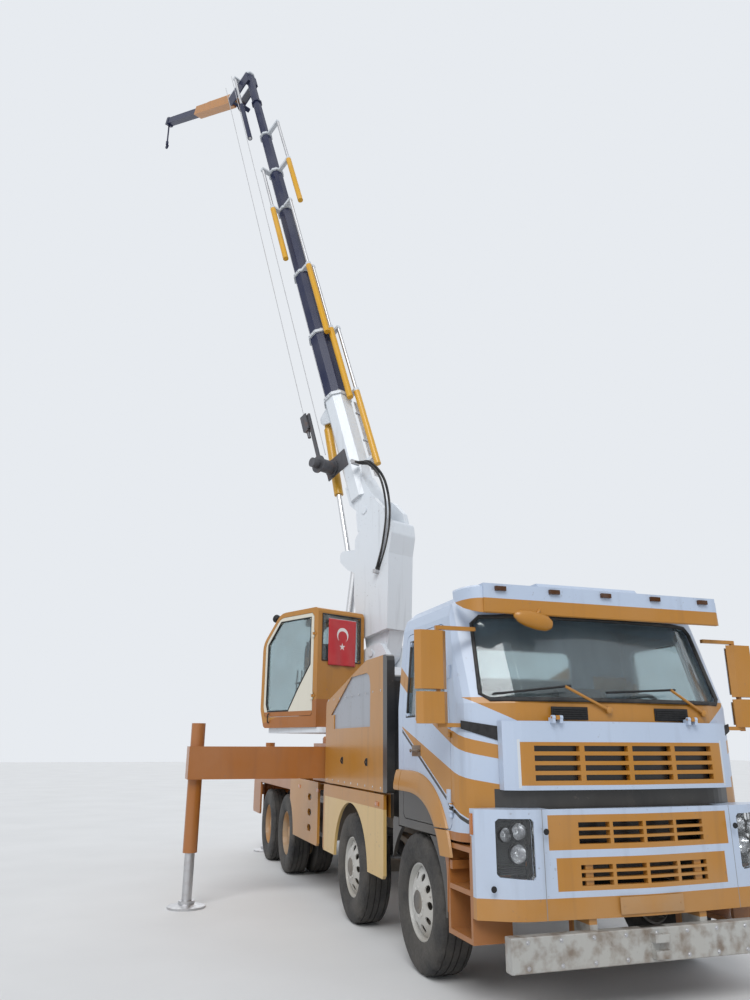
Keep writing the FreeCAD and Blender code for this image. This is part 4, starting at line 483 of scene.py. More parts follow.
class Form:
    """Geometry gathered in a local frame and made into one piece."""

    def __init__(self):
        self.mesh = bmesh.new()

    def add(self, part, matrix=None):
        if matrix is not None:
            part.transform(matrix)
        bmesh.ops.recalc_face_normals(part, faces=part.faces)
        kept = bpy.data.meshes.new("part")
        part.to_mesh(kept)
        part.free()
        self.mesh.from_mesh(kept)
        bpy.data.meshes.remove(kept)

    def block(self, low, high, chamfer=0.004, matrix=None):
        part = bmesh.new()
        bmesh.ops.create_cube(part, size=1.0)
        low, high = Vector(low), Vector(high)
        for vertex in part.verts:
            vertex.co = (low + high) / 2 + vertex.co * (high - low)
        if chamfer:
            bmesh.ops.bevel(part, geom=part.edges[:], offset=chamfer, segments=2, affect="EDGES", profile=0.6)
        self.add(part, matrix)

    def plate(self, points, thickness, matrix=None, chamfer=0.0):
        """A flat or slightly bent polygon of 3-D points, thickened along its own normal."""
        part = bmesh.new()
        corners = [Vector(p) for p in points]
        normal = (corners[1] - corners[0]).cross(corners[2] - corners[0]).normalized()
        near = [part.verts.new(c - normal * thickness / 2) for c in corners]
        far = [part.verts.new(c + normal * thickness / 2) for c in corners]
        part.faces.new(near)
        part.faces.new(far[::-1])
        count = len(corners)
        for k in range(count):
            part.faces.new((near[k], far[k], far[(k + 1) % count], near[(k + 1) % count]))
        if chamfer:
            bmesh.ops.bevel(part, geom=part.edges[:], offset=chamfer, segments=2, affect="EDGES", profile=0.6)
        self.add(part, matrix)

    def lathe(self, profile, count=48, matrix=None, closed=False):
        """Turns (radius, height) points about the local Z axis."""
        part = bmesh.new()
        rings = []
        for k in range(count):
            angle = 2 * math.pi * k / count
            rings.append([part.verts.new((r * math.cos(angle), r * math.sin(angle), h)) for r, h in profile])
        steps = len(profile) if closed else len(profile) - 1
        for k in range(count):
            here, there = rings[k], rings[(k + 1) % count]
            for i in range(steps):
                j = (i + 1) % len(profile)
                part.faces.new((here[i], there[i], there[j], here[j]))
        bmesh.ops.remove_doubles(part, verts=part.verts, dist=1e-6)
        self.add(part, matrix)

    def tube(self, points, radius, count=12, matrix=None, closed=False):
        part = bmesh.new()
        path = [Vector(p) for p in points]
        total = len(path)
        rings = []
        side = None
        for k, point in enumerate(path):
            before = path[k - 1] if k > 0 or closed else point
            after = path[(k + 1) % total] if k < total - 1 or closed else point
            forward = (after - before).normalized()
            if side is None:
                side = forward.orthogonal().normalized()
            side = (side - forward * side.dot(forward)).normalized()
            other = forward.cross(side)
            turns = [2 * math.pi * i / count for i in range(count)]
            rings.append([part.verts.new(point + (side * math.cos(a) + other * math.sin(a)) * radius) for a in turns])
        for k in range(total if closed else total - 1):
            here, there = rings[k], rings[(k + 1) % total]
            for i in range(count):
                j = (i + 1) % count
                part.faces.new((here[i], here[j], there[j], there[i]))
        if not closed:
            part.faces.new(rings[0][::-1])
            part.faces.new(rings[-1])
        self.add(part, matrix)

    def bolt(self, at, toward, size=0.012, height=0.010):
        """A hexagon head on a washer."""
        turn = Vector(toward).to_track_quat("Z", "Y").to_matrix().to_4x4()
        place = Matrix.Translation(at) @ turn
        self.lathe([(0, 0), (size * 1.45, 0), (size * 1.45, height * 0.25), (0, height * 0.25)], 16, place)
        self.lathe([(0, 0), (size, 0), (size, height * 0.85), (size * 0.85, height), (0, height)], 6, place)

    def make(self, name, matrix, body, material, slot, sharp=35):
        data = bpy.data.meshes.new(name)
        self.mesh.transform(matrix)
        self.mesh.to_mesh(data)
        self.mesh.free()
        data.shade_smooth()
        data.set_sharp_from_angle(angle=math.radians(sharp))
        data.materials.append(material)
        piece = bpy.data.objects.new(name, data)
        bpy.context.scene.collection.objects.link(piece)
        if body is not None:
            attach(piece, body)
        return piece


def smooth_path(points, steps=6):
    """Points along a smooth curve through a few given ones."""
    path = [Vector(p) for p in points]
    ends = [path[0] * 2 - path[1], *path, path[-1] * 2 - path[-2]]
    made = []
    for k in range(1, len(ends) - 2):
        a, b, c, d = ends[k - 1:k + 3]
        for i in range(steps):
            t = i / steps
            made.append(0.5 * (2 * b + (c - a) * t + (2 * a - 5 * b + 4 * c - d) * t ** 2
                               + (3 * b - a - 3 * c + d) * t ** 3))
    return made + [path[-1]]


def cab_front(y, z):
    """How far forward the cab's skin is at a place across and up."""
    half = abs(y)
    x = 1.23 - 0.07 * (half / 0.845) ** 2 if half <= 0.845 else 1.16 - 0.23 * (half - 0.845) / 0.40
    return x - max(0.0, z - 2.03) * 0.394


def cab_side(z):
    return 1.245 - max(0.0, z - 2.03) * 0.0833


FINISHES = {
    "gasket": rubber("gasket_rubber"), "hose": rubber("hose_rubber", (0.014, 0.014, 0.015, 1)),
    "tyre": tyre_rubber(), "glass": glass("window_glass"), "black": plastic("black_plastic", BLACK),
    "interior": plastic("interior_plastic", (0.05, 0.05, 0.055, 1)), "steel": bare_metal("worn_steel"),
    "chrome": bare_metal("polished_rod", (0.66, 0.66, 0.67, 1), 0.10, 0.06),
    "chassis": paint("chassis_paint", (0.045, 0.045, 0.05, 1), dust=0.8, roughness=0.5),
    "engine": bare_metal("cast_engine", (0.15, 0.15, 0.16, 1), 0.5, 0.5),
    "white": paint("white_paint", WHITE), "crane_white": paint("crane_white", CRANE_WHITE, dust=0.1, chips=0.35),
    "gold": paint("gold_paint", GOLD), "orange": paint("orange_paint", ORANGE, dust=0.12, chips=0.6),
    "handle": paint("handle_paint", (0.10, 0.045, 0.006, 1)),
    # Near-black for the radiator core: painted shade deep behind the grille slots.
    "dark": plastic("engine_bay_shade", (0.002, 0.002, 0.002, 1), 0.8),
    "yellow": paint("cylinder_paint", YELLOW, dust=0.1, chips=0.6),
    "rim_white": paint("rim_white_paint", (0.50, 0.50, 0.48, 1), dust=0.5, chips=0.9, roughness=0.4),
    "rim_orange": paint("rim_orange_paint", (0.42, 0.20, 0.05, 1), dust=0.8, chips=0.8, roughness=0.5),
    "amber": lens("amber_lens", (0.75, 0.22, 0.02, 1)),
    "red": lens("red_lens", (0.40, 0.01, 0.01, 1)), "mirror": bare_metal("mirror_glass", (0.80, 0.82, 0.84, 1), 0.03, 0.0),
    "jib": paint("jib_paint", (0.45, 0.17, 0.008, 1), dust=0.0, chips=0.4),
    "navy": paint("navy_paint", NAVY, dust=0.0, chips=0.3, gloss=0.2),
}

NODE_FINISHES = {
    "cab_shell": cab_livery(), "front_lid": lid_livery(), "front_bumper": bumper_livery(),
    "side_towers": tower_livery(), "cab_fittings": fitting_livery(), "operator_cab": operator_livery(),
    "windscreen": FINISHES["glass"], "cab_interior": FINISHES["interior"], "lamps": lamp_lenses(),
    "side_skirts": skirt_livery(), "deck": FINISHES["orange"], "crane_base": FINISHES["orange"],
    "turntable": FINISHES["crane_white"], "boom_1": FINISHES["crane_white"], "engine": FINISHES["engine"],
    "chassis_frame": FINISHES["chassis"], "axles": FINISHES["chassis"], "winch": FINISHES["engine"],
    "lift_barrel": FINISHES["yellow"], "bend_barrel": FINISHES["yellow"], "lift_rod": FINISHES["chrome"],
    "bend_rod": FINISHES["chrome"], "jib_boom": FINISHES["jib"], "jib_section": FINISHES["navy"],
    "boom_2": boom_livery("boom_2_paint", CRANE_WHITE, 0),
}
NODE_FINISHES["operator_door"] = operator_door_livery()
for side, sign in SIDES:
    NODE_FINISHES[f"door_{side}"] = NODE_FINISHES["cab_shell"]
    NODE_FINISHES[f"outrigger_{side}"] = FINISHES["orange"]
    NODE_FINISHES[f"jack_{side}"] = FINISHES["steel"]
    NODE_FINISHES[f"rear_jack_{side}"] = FINISHES["steel"]
    for axle in (1, 2):
        NODE_FINISHES[f"knuckle_{axle}_{side}"] = FINISHES["chassis"]
for stage in range(1, 7):
    NODE_FINISHES[f"section_{stage}"] = boom_livery(f"section_{stage}_paint", NAVY, stage)
for name, material in NODE_FINISHES.items():
    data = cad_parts[name].data
    data.materials.clear()
    data.materials.append(material)


def tyre_profile(width):
    """Bead to bead: wall, shoulder and a tread with four grooves."""
    half = width / 2
    wall = [(RIM_RADIUS, half - 0.035), (0.300, half - 0.018), (0.330, half - 0.006), (0.385, half - 0.001),
            (0.392, half), (0.430, half - 0.001), (0.470, half - 0.007), (0.500, half - 0.018), (0.513, half - 0.030)]
    tread = []
    for edge in (0.098, 0.032):
        tread += [(0.519, edge), (0.507, edge - 0.003), (0.507, edge - 0.009), (0.520, edge - 0.012)]
    outer = wall + tread
    return outer + [(r, -h) for r, h in reversed(outer)]


def tyre(form, x, y, width, count=144):
    """A tyre on its side, with slots across the shoulder ribs."""
    profile = tyre_profile(width)
    part = bmesh.new()
    rings = []
    for k in range(count):
        angle = 2 * math.pi * (k + 0.5) / count
        cut = 0.009 if k % 6 < 2 else 0.0
        ring = []
        for r, h in profile:
            shoulder = r > 0.512 and abs(h) > 0.09
            reach = min(r - (cut if shoulder else 0.0), TYRE_RADIUS)
            ring.append(part.verts.new((reach * math.cos(angle), h, reach * math.sin(angle))))
        rings.append(ring)
    for k in range(count):
        here, there = rings[k], rings[(k + 1) % count]
        for i in range(len(profile) - 1):
            part.faces.new((here[i], there[i], there[i + 1], here[i + 1]))
    form.add(part, Matrix.Translation((x, y, TYRE_RADIUS)))


def holed_disc(form, place, inner, outer, inner_height, outer_height, hole, count=10, thickness=0.012):
    """A dished disc with a ring of hand holes. Each hole sits in its own sector of the disc."""
    part = bmesh.new()
    middle = (inner + outer) / 2
    steps = 5

    def point(angle, radius, depth):
        share = (radius - inner) / (outer - inner)
        height = inner_height + (outer_height - inner_height) * share * share
        return part.verts.new((radius * math.cos(angle), radius * math.sin(angle), height - depth))

    for sector in range(count):
        centre = 2 * math.pi * sector / count
        half = math.pi / count
        border = []
        for k in range(steps):
            t = k / steps * 2 - 1
            border.append((t, -1))
        border += [(1, k / steps * 2 - 1) for k in range(steps)]
        border += [(1 - k / steps * 2, 1) for k in range(steps)]
        border += [(-1, 1 - k / steps * 2) for k in range(steps)]
        rows = []
        for depth in (0.0, thickness):
            edge = [point(centre + a * half, middle + b * (outer - inner) / 2, depth) for a, b in border]
            rim = []
            for a, b in border:
                size = math.hypot(a, b)
                rim.append(point(centre + a / size * hole / middle, middle + b / size * hole, depth))
            rows.append((edge, rim))
        total = len(border)
        for k in range(total):
            j = (k + 1) % total
            part.faces.new((rows[0][0][k], rows[0][0][j], rows[0][1][j], rows[0][1][k]))
            part.faces.new((rows[1][0][k], rows[1][1][k], rows[1][1][j], rows[1][0][j]))
            part.faces.new((rows[0][1][k], rows[0][1][j], rows[1][1][j], rows[1][1][k]))
    bmesh.ops.remove_doubles(part, verts=part.verts, dist=1e-5)
    form.add(part, place)


def wheel_nuts(form, place, radius, height, count=10):
    for k in range(count):
        angle = 2 * math.pi * (k + 0.5) / count
        spot = place @ Vector((radius * math.cos(angle), radius * math.sin(angle), height))
        form.bolt(spot, place.to_3x3() @ Vector((0, 0, 1)), 0.016, 0.032)


def rim_barrel(width):
    half = width / 2 - 0.036
    r = RIM_RADIUS
    return [(r + 0.004, half), (r - 0.010, half + 0.003), (r - 0.014, half - 0.012), (r - 0.022, half - 0.03),
            (r - 0.030, half - 0.06), (r - 0.030, 0.06 - half), (r - 0.014, 0.012 - half), (r + 0.004, -half),
            (r - 0.004, 0.02 - half), (r - 0.018, 0.07 - half), (r - 0.018, half - 0.07), (r - 0.004, half - 0.02)]


def front_wheel(axle, side, sign):
    x, y = AXLES[axle - 1], sign * (TRACK - TYRE_WIDTH / 2)
    body = f"wheel_{axle}_{side}"
    form = Form()
    tyre(form, x, y, TYRE_WIDTH)
    piece = form.make(f"tread_{axle}_{side}", TRUCK, body, FINISHES["tyre"], "tyre", 28)
    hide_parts(f"tyre_{axle}_{side}")
    form = Form()
    out = Matrix.Translation((x, y, TYRE_RADIUS)) @ Matrix.Rotation(-sign * math.pi / 2, 4, "X")
    form.lathe(rim_barrel(TYRE_WIDTH), 64, out, closed=True)
    holed_disc(form, out, 0.120, 0.262, 0.138, 0.068, 0.030)
    form.lathe([(0.122, 0.120), (0.122, 0.139), (0.086, 0.141), (0.086, 0.120)], 48, out)
    wheel_nuts(form, out, 0.104, 0.112)
    piece = form.make(f"disc_{axle}_{side}", TRUCK, body, FINISHES["rim_white"], "rim_white")
    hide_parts(f"rim_{axle}_{side}")
    hub = Form()
    hub.lathe([(0.088, 0.100), (0.086, 0.143), (0.080, 0.147), (0.052, 0.143), (0.046, 0.147), (0.034, 0.148), (0, 0.148)],
              48, out)
    drum = [(0.042, -0.085), (0.060, -0.085), (0.205, -0.080), (0.212, -0.06), (0.212, 0.05), (0.200, 0.062),
            (0.118, 0.066), (0.118, 0.110), (0.042, 0.110)]
    hub.lathe(drum, 48, out, closed=True)
    hub.make(f"hub_{axle}_{side}", TRUCK, body, FINISHES["chassis"], "chassis_grey")


def rear_wheels(axle, side, sign):
    x = AXLES[axle - 1]
    outer = sign * (TRACK - TWIN_WIDTH / 2)
    inner = outer - sign * (TWIN_WIDTH + TWIN_GAP)
    body = f"wheels_{axle}_{side}"
    form = Form()
    for y in (outer, inner):
        tyre(form, x, y, TWIN_WIDTH)
    piece = form.make(f"treads_{axle}_{side}", TRUCK, body, FINISHES["tyre"], "tyre", 28)
    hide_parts(f"tyres_{axle}_{side}")
    form = Form()
    turn = Matrix.Rotation(-sign * math.pi / 2, 4, "X")
    for y in (outer, inner):
        place = Matrix.Translation((x, y, TYRE_RADIUS)) @ turn
        form.lathe(rim_barrel(TWIN_WIDTH), 64, place, closed=True)
    out = Matrix.Translation((x, outer, TYRE_RADIUS)) @ turn
    holed_disc(form, out, 0.135, 0.258, -0.075, -0.045, 0.030)
    form.lathe([(0.258, -0.045), (0.262, -0.010), (0.262, 0.02)], 64, out)
    form.lathe([(0.137, -0.090), (0.137, -0.070), (0.112, -0.064), (0.104, 0.050), (0.094, 0.066), (0.070, 0.070),
                (0.062, 0.076), (0.03, 0.079), (0, 0.079)], 48, out)
    wheel_nuts(form, out, 0.125, -0.072)
    for k in range(8):
        angle = math.pi / 4 * k
        spot = out @ Vector((0.083 * math.cos(angle), 0.083 * math.sin(angle), 0.066))
        form.bolt(spot, (0, sign, 0), 0.008, 0.010)
    piece = form.make(f"discs_{axle}_{side}", TRUCK, body, FINISHES["rim_orange"], "rim_yellow")
    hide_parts(f"rims_{axle}_{side}")


for side, sign in SIDES:
    for axle in (1, 2):
        front_wheel(axle, side, sign)
    for axle in (3, 4):
        rear_wheels(axle, side, sign)


def door_parts(side, sign):
    """Window glass with its gasket, the handle in its recess, the grab bar and the hinge covers of one door."""
    body = f"door_{side}"
    outline = [(-0.20, 1.96), (-0.20, 2.62), (0.47, 2.62), (0.52, 2.59), (0.675, 2.05), (0.67, 1.98), (0.65, 1.96)]
    form = Form()
    form.plate([(x, sign * (cab_side(z) - 0.026), z) for x, z in outline], 0.006)
    form.make(f"door_glass_{side}", TRUCK, body, FINISHES["glass"], "cab_glass")
    form = Form()
    form.tube([(x, sign * (cab_side(z) - 0.010), z) for x, z in outline], 0.013, 8, closed=True)
    form.block((-0.19, sign * 1.232 - 0.008, 1.952), (0.65, sign * 1.232 + 0.008, 1.972), 0.003)
    form.make(f"door_gasket_{side}", TRUCK, body, FINISHES["gasket"], "interior_grey")
    form = Form()
    form.block((-0.06, sign * 1.2435 - 0.004, 1.635), (0.14, sign * 1.2435 + 0.004, 1.725), 0.003)
    form.tube(smooth_path([(-0.045, sign * 1.246, 1.68), (-0.03, sign * 1.262, 1.682), (0.11, sign * 1.262, 1.682),
                           (0.125, sign * 1.246, 1.68)]), 0.009)
    form.lathe([(0, 0), (0.014, 0), (0.014, 0.008), (0.008, 0.010), (0, 0.010)], 20,
               Matrix.Translation((-0.09, sign * 1.245, 1.68)) @ Matrix.Rotation(-sign * math.pi / 2, 4, "X"))
    form.make(f"door_handle_{side}", TRUCK, body, FINISHES["handle"], "interior_grey")
    form = Form()
    for z in (1.36, 2.28):
        form.block((0.70, sign * (cab_side(z) + 0.006) - 0.008, z - 0.05),
                   (0.76, sign * (cab_side(z) + 0.006) + 0.008, z + 0.05), 0.005)
    form.make(f"hinge_covers_{side}", TRUCK, body, FINISHES["white"], "cab_white")


def arch_lip(side, sign):
    """The flared lip over the front wheel: one length on the door's foot, the others on the cab and the step."""
    def curve(reach, angle):
        power = 2 / ARCH_POWER
        x = ARCH_CENTRE[0] + reach[0] * max(math.cos(angle), 0) ** power
        return x, ARCH_CENTRE[1] + reach[1] * math.sin(angle) ** power

    run = [((x, ARCH_CENTRE[1] + ARCH_OUTER[1]), (x, ARCH_CENTRE[1] + ARCH_INNER[1])) for x in (-0.425, -0.34, -0.25)]
    for k in range(60):
        angle = math.radians(90 - k * 1.35)
        run.append((curve(ARCH_OUTER, angle), curve(ARCH_INNER, angle)))
    profile = ((0.0, 1.2455), (0.05, 1.262), (0.30, 1.276), (0.72, 1.290), (0.93, 1.291), (1.0, 1.284), (1.0, 1.2455))
    lengths = (("rear", "truck", ((-0.294, 0), (1, 0)), ((0, 1.2), (0, -1))),
               ("door", f"door_{side}", ((-0.284, 0), (-1, 0)), ((0, 1.131), (0, -1))),
               ("front", "truck", ((0, 1.119), (0, 1)), ((0, 0.94), (0, -1))))
    for name, body, *cuts in lengths:
        part = bmesh.new()
        rows = []
        for (ox, oz), (ix, iz) in run:
            rows.append([part.verts.new((ox + (ix - ox) * share, sign * y, oz + (iz - oz) * share)) for share, y in profile])
        for here, there in zip(rows, rows[1:]):
            for k in range(len(profile)):
                nxt = (k + 1) % len(profile)
                part.faces.new((here[k], here[nxt], there[nxt], there[k]))
        part.faces.new(rows[0])
        part.faces.new(rows[-1])
        for (x, z), (nx, nz) in cuts:
            bmesh.ops.bisect_plane(part, geom=part.verts[:] + part.edges[:] + part.faces[:], dist=1e-6,
                                   plane_co=(x, 0, z), plane_no=(nx, 0, nz), clear_outer=True)
            bmesh.ops.holes_fill(part, edges=[e for e in part.edges if e.is_boundary])
        form = Form()
        form.add(part)
        form.make(f"arch_lip_{name}_{side}", TRUCK, body, FINISHES["gold"], "panel_gold")


for side, sign in SIDES:
    door_parts(side, sign)
    arch_lip(side, sign)


def cab_parts():
    """Gasket, wipers, vents, mirror glass and other small pieces of the cab."""
    screen = [(-1.09, 2.10), (-1.05, 2.66), (-0.99, 2.715)]
    steps = 10
    top = [(-0.99 + 1.98 * k / steps, 2.715) for k in range(1, steps)]
    right = [(0.99, 2.715), (1.05, 2.66), (1.09, 2.10), (1.03, 2.058)]
    bottom = [(1.03 - 2.06 * k / steps, 2.058) for k in range(1, steps + 1)]
    outline = screen + top + right + bottom
    form = Form()
    form.tube([(cab_front(y, z) + 0.004, y, z) for y, z in outline], 0.017, 8, closed=True)
    form.make("screen_gasket", TRUCK, "truck", FINISHES["gasket"], "interior_grey")

    arms, blades = Form(), Form()
    for pivot, elbow, tip in (((-0.13, 1.985), (-0.48, 2.155), (-1.02, 2.095)), ((0.79, 1.975), (0.47, 2.15), (-0.13, 2.115))):
        place = [Vector((cab_front(y, z) + stand, y, z)) for (y, z), stand in ((pivot, 0.015), (elbow, 0.055), (tip, 0.045))]
        arms.tube([place[0], place[0].lerp(place[1], 0.3), place[1]], 0.011, 8)
        arms.lathe([(0, 0), (0.026, 0), (0.026, 0.018), (0.012, 0.026), (0, 0.026)], 20,
                   Matrix.Translation(place[0] - Vector((0.010, 0, 0))) @ Matrix.Rotation(math.pi / 2, 4, "Y"))
        path = []
        for k in range(9):
            y = elbow[0] + (tip[0] - elbow[0]) * (k / 8 * 1.12 - 0.12)
            z = elbow[1] + (tip[1] - elbow[1]) * (k / 8 * 1.12 - 0.12)
            path.append((cab_front(y, z) + 0.026, y, z))
        blades.tube(path, 0.009, 6)
        blades.tube([place[1], place[1].lerp(place[2], 0.5), place[2]], 0.006, 6)
    arms.make("wiper_arms", TRUCK, "truck", FINISHES["gold"], "panel_gold")
    blades.make("wiper_blades", TRUCK, "truck", FINISHES["black"], "interior_grey")

    form = Form()
    for low, high in ((-0.60, -0.31), (0.31, 0.60)):
        middle = (low + high) / 2
        x = cab_front(middle, 1.96)
        for k in range(5):
            z = 1.922 + k * 0.016
            form.block((x - 0.004, low, z), (x + 0.012, high, z + 0.008), 0.002)
        form.block((x - 0.010, low - 0.01, 1.912), (x + 0.003, high + 0.01, 2.006), 0.002)
    for side, sign in SIDES:
        corners = [(0.94, 1.905), (1.135, 1.845), (1.135, 1.725), (0.94, 1.845)]
        points = [(x, sign * (1.245 - (x - 0.93) * 1.739 + 0.004), z) for x, z in corners]
        form.plate(points, 0.010)
        for k in range(1, 6):
            share = k / 6
            a = Vector(points[0]).lerp(Vector(points[1]), share)
            b = Vector(points[3]).lerp(Vector(points[2]), share)
            form.tube([a, b], 0.006, 6)
    form.make("cab_vents", TRUCK, "truck", FINISHES["black"], "interior_grey")

    form = Form()
    for side, sign in SIDES:
        for low, high in ((2.15, 2.55), (1.90, 2.09)):
            form.block((0.873, sign * 1.46 - 0.11, low), (0.881, sign * 1.46 + 0.11, high), 0.003)
    form.make("mirror_faces", TRUCK, "truck", FINISHES["mirror"], "lamp_glass")

    form = Form()
    pod = Matrix.Translation((1.115, -0.67, 2.665)) @ Matrix.Rotation(math.radians(-12), 4, "X")
    shape = [(0, -0.175), (0.035, -0.165), (0.062, -0.12), (0.070, -0.04), (0.066, 0.05), (0.048, 0.12), (0.022, 0.16), (0, 0.17)]
    form.lathe(shape, 28, pod @ Matrix.Rotation(math.pi / 2, 4, "X") @ Matrix.Scale(0.7, 4, (1, 0, 0)))
    form.tube(smooth_path([(1.10, -0.60, 2.76), (1.13, -0.62, 2.73), (1.12, -0.65, 2.69)]), 0.012)
    form.make("kerb_mirror", TRUCK, "truck", FINISHES["gold"], "panel_gold")

    form = Form()
    for side, sign in SIDES:
        plan = [(1.112, 1.088), (1.100, 1.125), (1.055, 1.165), (0.97, 1.195), (0.86, 1.205), (0.80, 1.203)]
        outer = [(x, sign * y) for x, y in plan]
        inner = [(x - 0.018, sign * (y - 0.018)) for x, y in plan]
        lows = (2.702, 2.706, 2.722, 2.752, 2.80, 2.85)
        part = bmesh.new()
        rows = []
        for (x0, y0), (x1, y1), low in zip(outer, inner, lows):
            rows.append([part.verts.new(c) for c in ((x0, y0, low), (x0 - 0.01, y0, 2.905), (x1 - 0.03, y1, 2.925),
                                                     (x1, y1, low))])
        for here, there in zip(rows, rows[1:]):
            for k in range(4):
                part.faces.new((here[k], here[(k + 1) % 4], there[(k + 1) % 4], there[k]))
        part.faces.new(rows[0])
        part.faces.new(rows[-1])
        form.add(part)
    form.make("visor_ends", TRUCK, "truck", NODE_FINISHES["cab_fittings"], "panel_gold")

    # The radiator core and the plate behind it are near-black: painted shade behind the grille slots.
    form = Form()
    for z in [1.06 + 0.022 * k for k in range(38)]:
        form.block((1.045, -0.78, z), (1.060, 0.78, z + 0.005), 0.0)
    form.block((1.030, -0.80, 0.72), (1.044, 0.80, 1.90), 0.004)
    form.block((1.046, -0.62, 0.78), (1.075, 0.62, 1.03), 0.006)
    form.make("radiator_core", TRUCK, "truck", FINISHES["dark"], "engine_grey")


cab_parts()


def bumper_parts():
    """Headlamp units behind their lenses, indicators, the plate holder, tow pin cap and fog lamps."""
    dark, bright, amber, gold = Form(), Form(), Form(), Form()
    for side, sign in SIDES:
        for low, high in ((0.868, 1.238),):
            dark.block((1.13, sign * 0.985 - 0.118, low), (1.15, sign * 0.985 + 0.118, high), 0.004)
        for y, z, radius in ((0.945, 1.155, 0.052), (1.045, 1.135, 0.044), (0.955, 1.010, 0.058)):
            place = Matrix.Translation((1.150, sign * y, z)) @ Matrix.Rotation(math.pi / 2, 4, "Y")
            bowl = [(0, 0.012), (radius * 0.5, 0.020), (radius * 0.82, 0.042), (radius, 0.075), (radius * 1.06, 0.075)]
            bright.lathe(bowl, 36, place)
            bright.lathe([(0, 0.012), (0.013, 0.012), (0.013, 0.05), (0.006, 0.056), (0, 0.056)], 20, place)
            dark.lathe([(radius * 1.06, 0.06), (radius * 1.2, 0.06), (radius * 1.2, 0.086), (radius * 1.06, 0.086)], 36, place,
                       closed=True)
        for k in range(5):
            z = 0.875 + k * 0.014
            dark.block((1.15, sign * 0.985 - 0.10, z), (1.185, sign * 0.985 + 0.10, z + 0.008), 0.002)
        amber.block((1.082, sign * 1.247 - 0.006, 1.13), (1.128, sign * 1.247 + 0.006, 1.27), 0.004)
        for y, z in ((0.80, 1.16), (1.16, 0.80)):
            x = 1.372 if y < 1 else 1.262
            dark.lathe([(0, 0), (0.021, 0), (0.021, 0.004), (0.012, 0.006), (0, 0.003)], 20,
                       Matrix.Translation((x - 0.012, sign * y, z)) @ Matrix.Rotation(math.pi / 2, 4, "Y"))
    gold.block((1.366, -0.26, 0.620), (1.376, 0.26, 0.728), 0.004)
    for y in (-0.235, 0.235):
        gold.bolt((1.376, y, 0.674), (1, 0, 0), 0.006, 0.003)
    dark.make("lamp_housings", TRUCK, "truck", FINISHES["black"], "interior_grey")
    bright.make("lamp_reflectors", TRUCK, "truck", FINISHES["chrome"], "rod_steel")
    amber.make("indicators", TRUCK, "truck", FINISHES["amber"], "lamp_glass")
    gold.make("plate_holder", TRUCK, "truck", FINISHES["gold"], "panel_gold")
    bolts = Form()
    for k in range(9):
        bolts.bolt((1.389, -1.0 + k * 0.25, 0.35), (1, 0, 0), 0.010, 0.008)
        bolts.bolt((1.389, -1.0 + k * 0.25, 0.50), (1, 0, 0), 0.010, 0.008)
    bolts.make("bar_bolts", TRUCK, "truck", FINISHES["steel"], "rod_steel")


bumper_parts()


def chassis_parts():
    """Marker lamps along the skirts, panel screws, latches, tail lamp faces and hoses to the outriggers."""
    amber, screws, latches, hoses = Form(), Form(), Form(), Form()
    for side, sign in SIDES:
        y = sign * 1.245
        for x in (-1.02, -3.35, -4.35):
            amber.block((x - 0.055, y - 0.006, 1.17), (x + 0.055, y + 0.012, 1.21), 0.004)
        for x in [-0.90 - 0.25 * k for k in range(9)]:
            for z in (1.335, 2.235):
                screws.bolt((x, y + sign * 0.004, z), (0, sign, 0), 0.009, 0.005)
        for x in (-1.35, -2.25):
            latches.block((x - 0.035, y - 0.006, 1.52), (x + 0.035, y + 0.012, 1.60), 0.006)
            latches.tube([(x, y + sign * 0.012, 1.59), (x, y + sign * 0.024, 1.56), (x, y + sign * 0.014, 1.53)], 0.006, 8)
        for k in range(3):
            start = Vector((-3.10 - 0.03 * k, sign * 0.55, 1.76))
            hoses.tube(smooth_path([start, start + Vector((0.02, sign * 0.25, 0.10)), start + Vector((0.0, sign * 0.5, 0.03))]),
                       0.011, 10)
    amber.make("side_markers", TRUCK, "truck", FINISHES["amber"], "lamp_glass")
    screws.make("panel_screws", TRUCK, "truck", FINISHES["steel"], "rod_steel")
    latches.make("panel_latches", TRUCK, "truck", FINISHES["black"], "interior_grey")
    hoses.make("outrigger_hoses", TRUCK, "truck", FINISHES["hose"], "tyre")
    red = Form()
    for side, sign in SIDES:
        for k in range(4):
            red.block((-8.086, sign * 0.745 - 0.04 + sign * k * 0.095, 0.915), (-8.078, sign * 0.745 + 0.04 + sign * k * 0.095, 1.015),
                      0.003)
    red.make("tail_lamp_faces", TRUCK, "truck", FINISHES["red"], "lamp_glass")


chassis_parts()


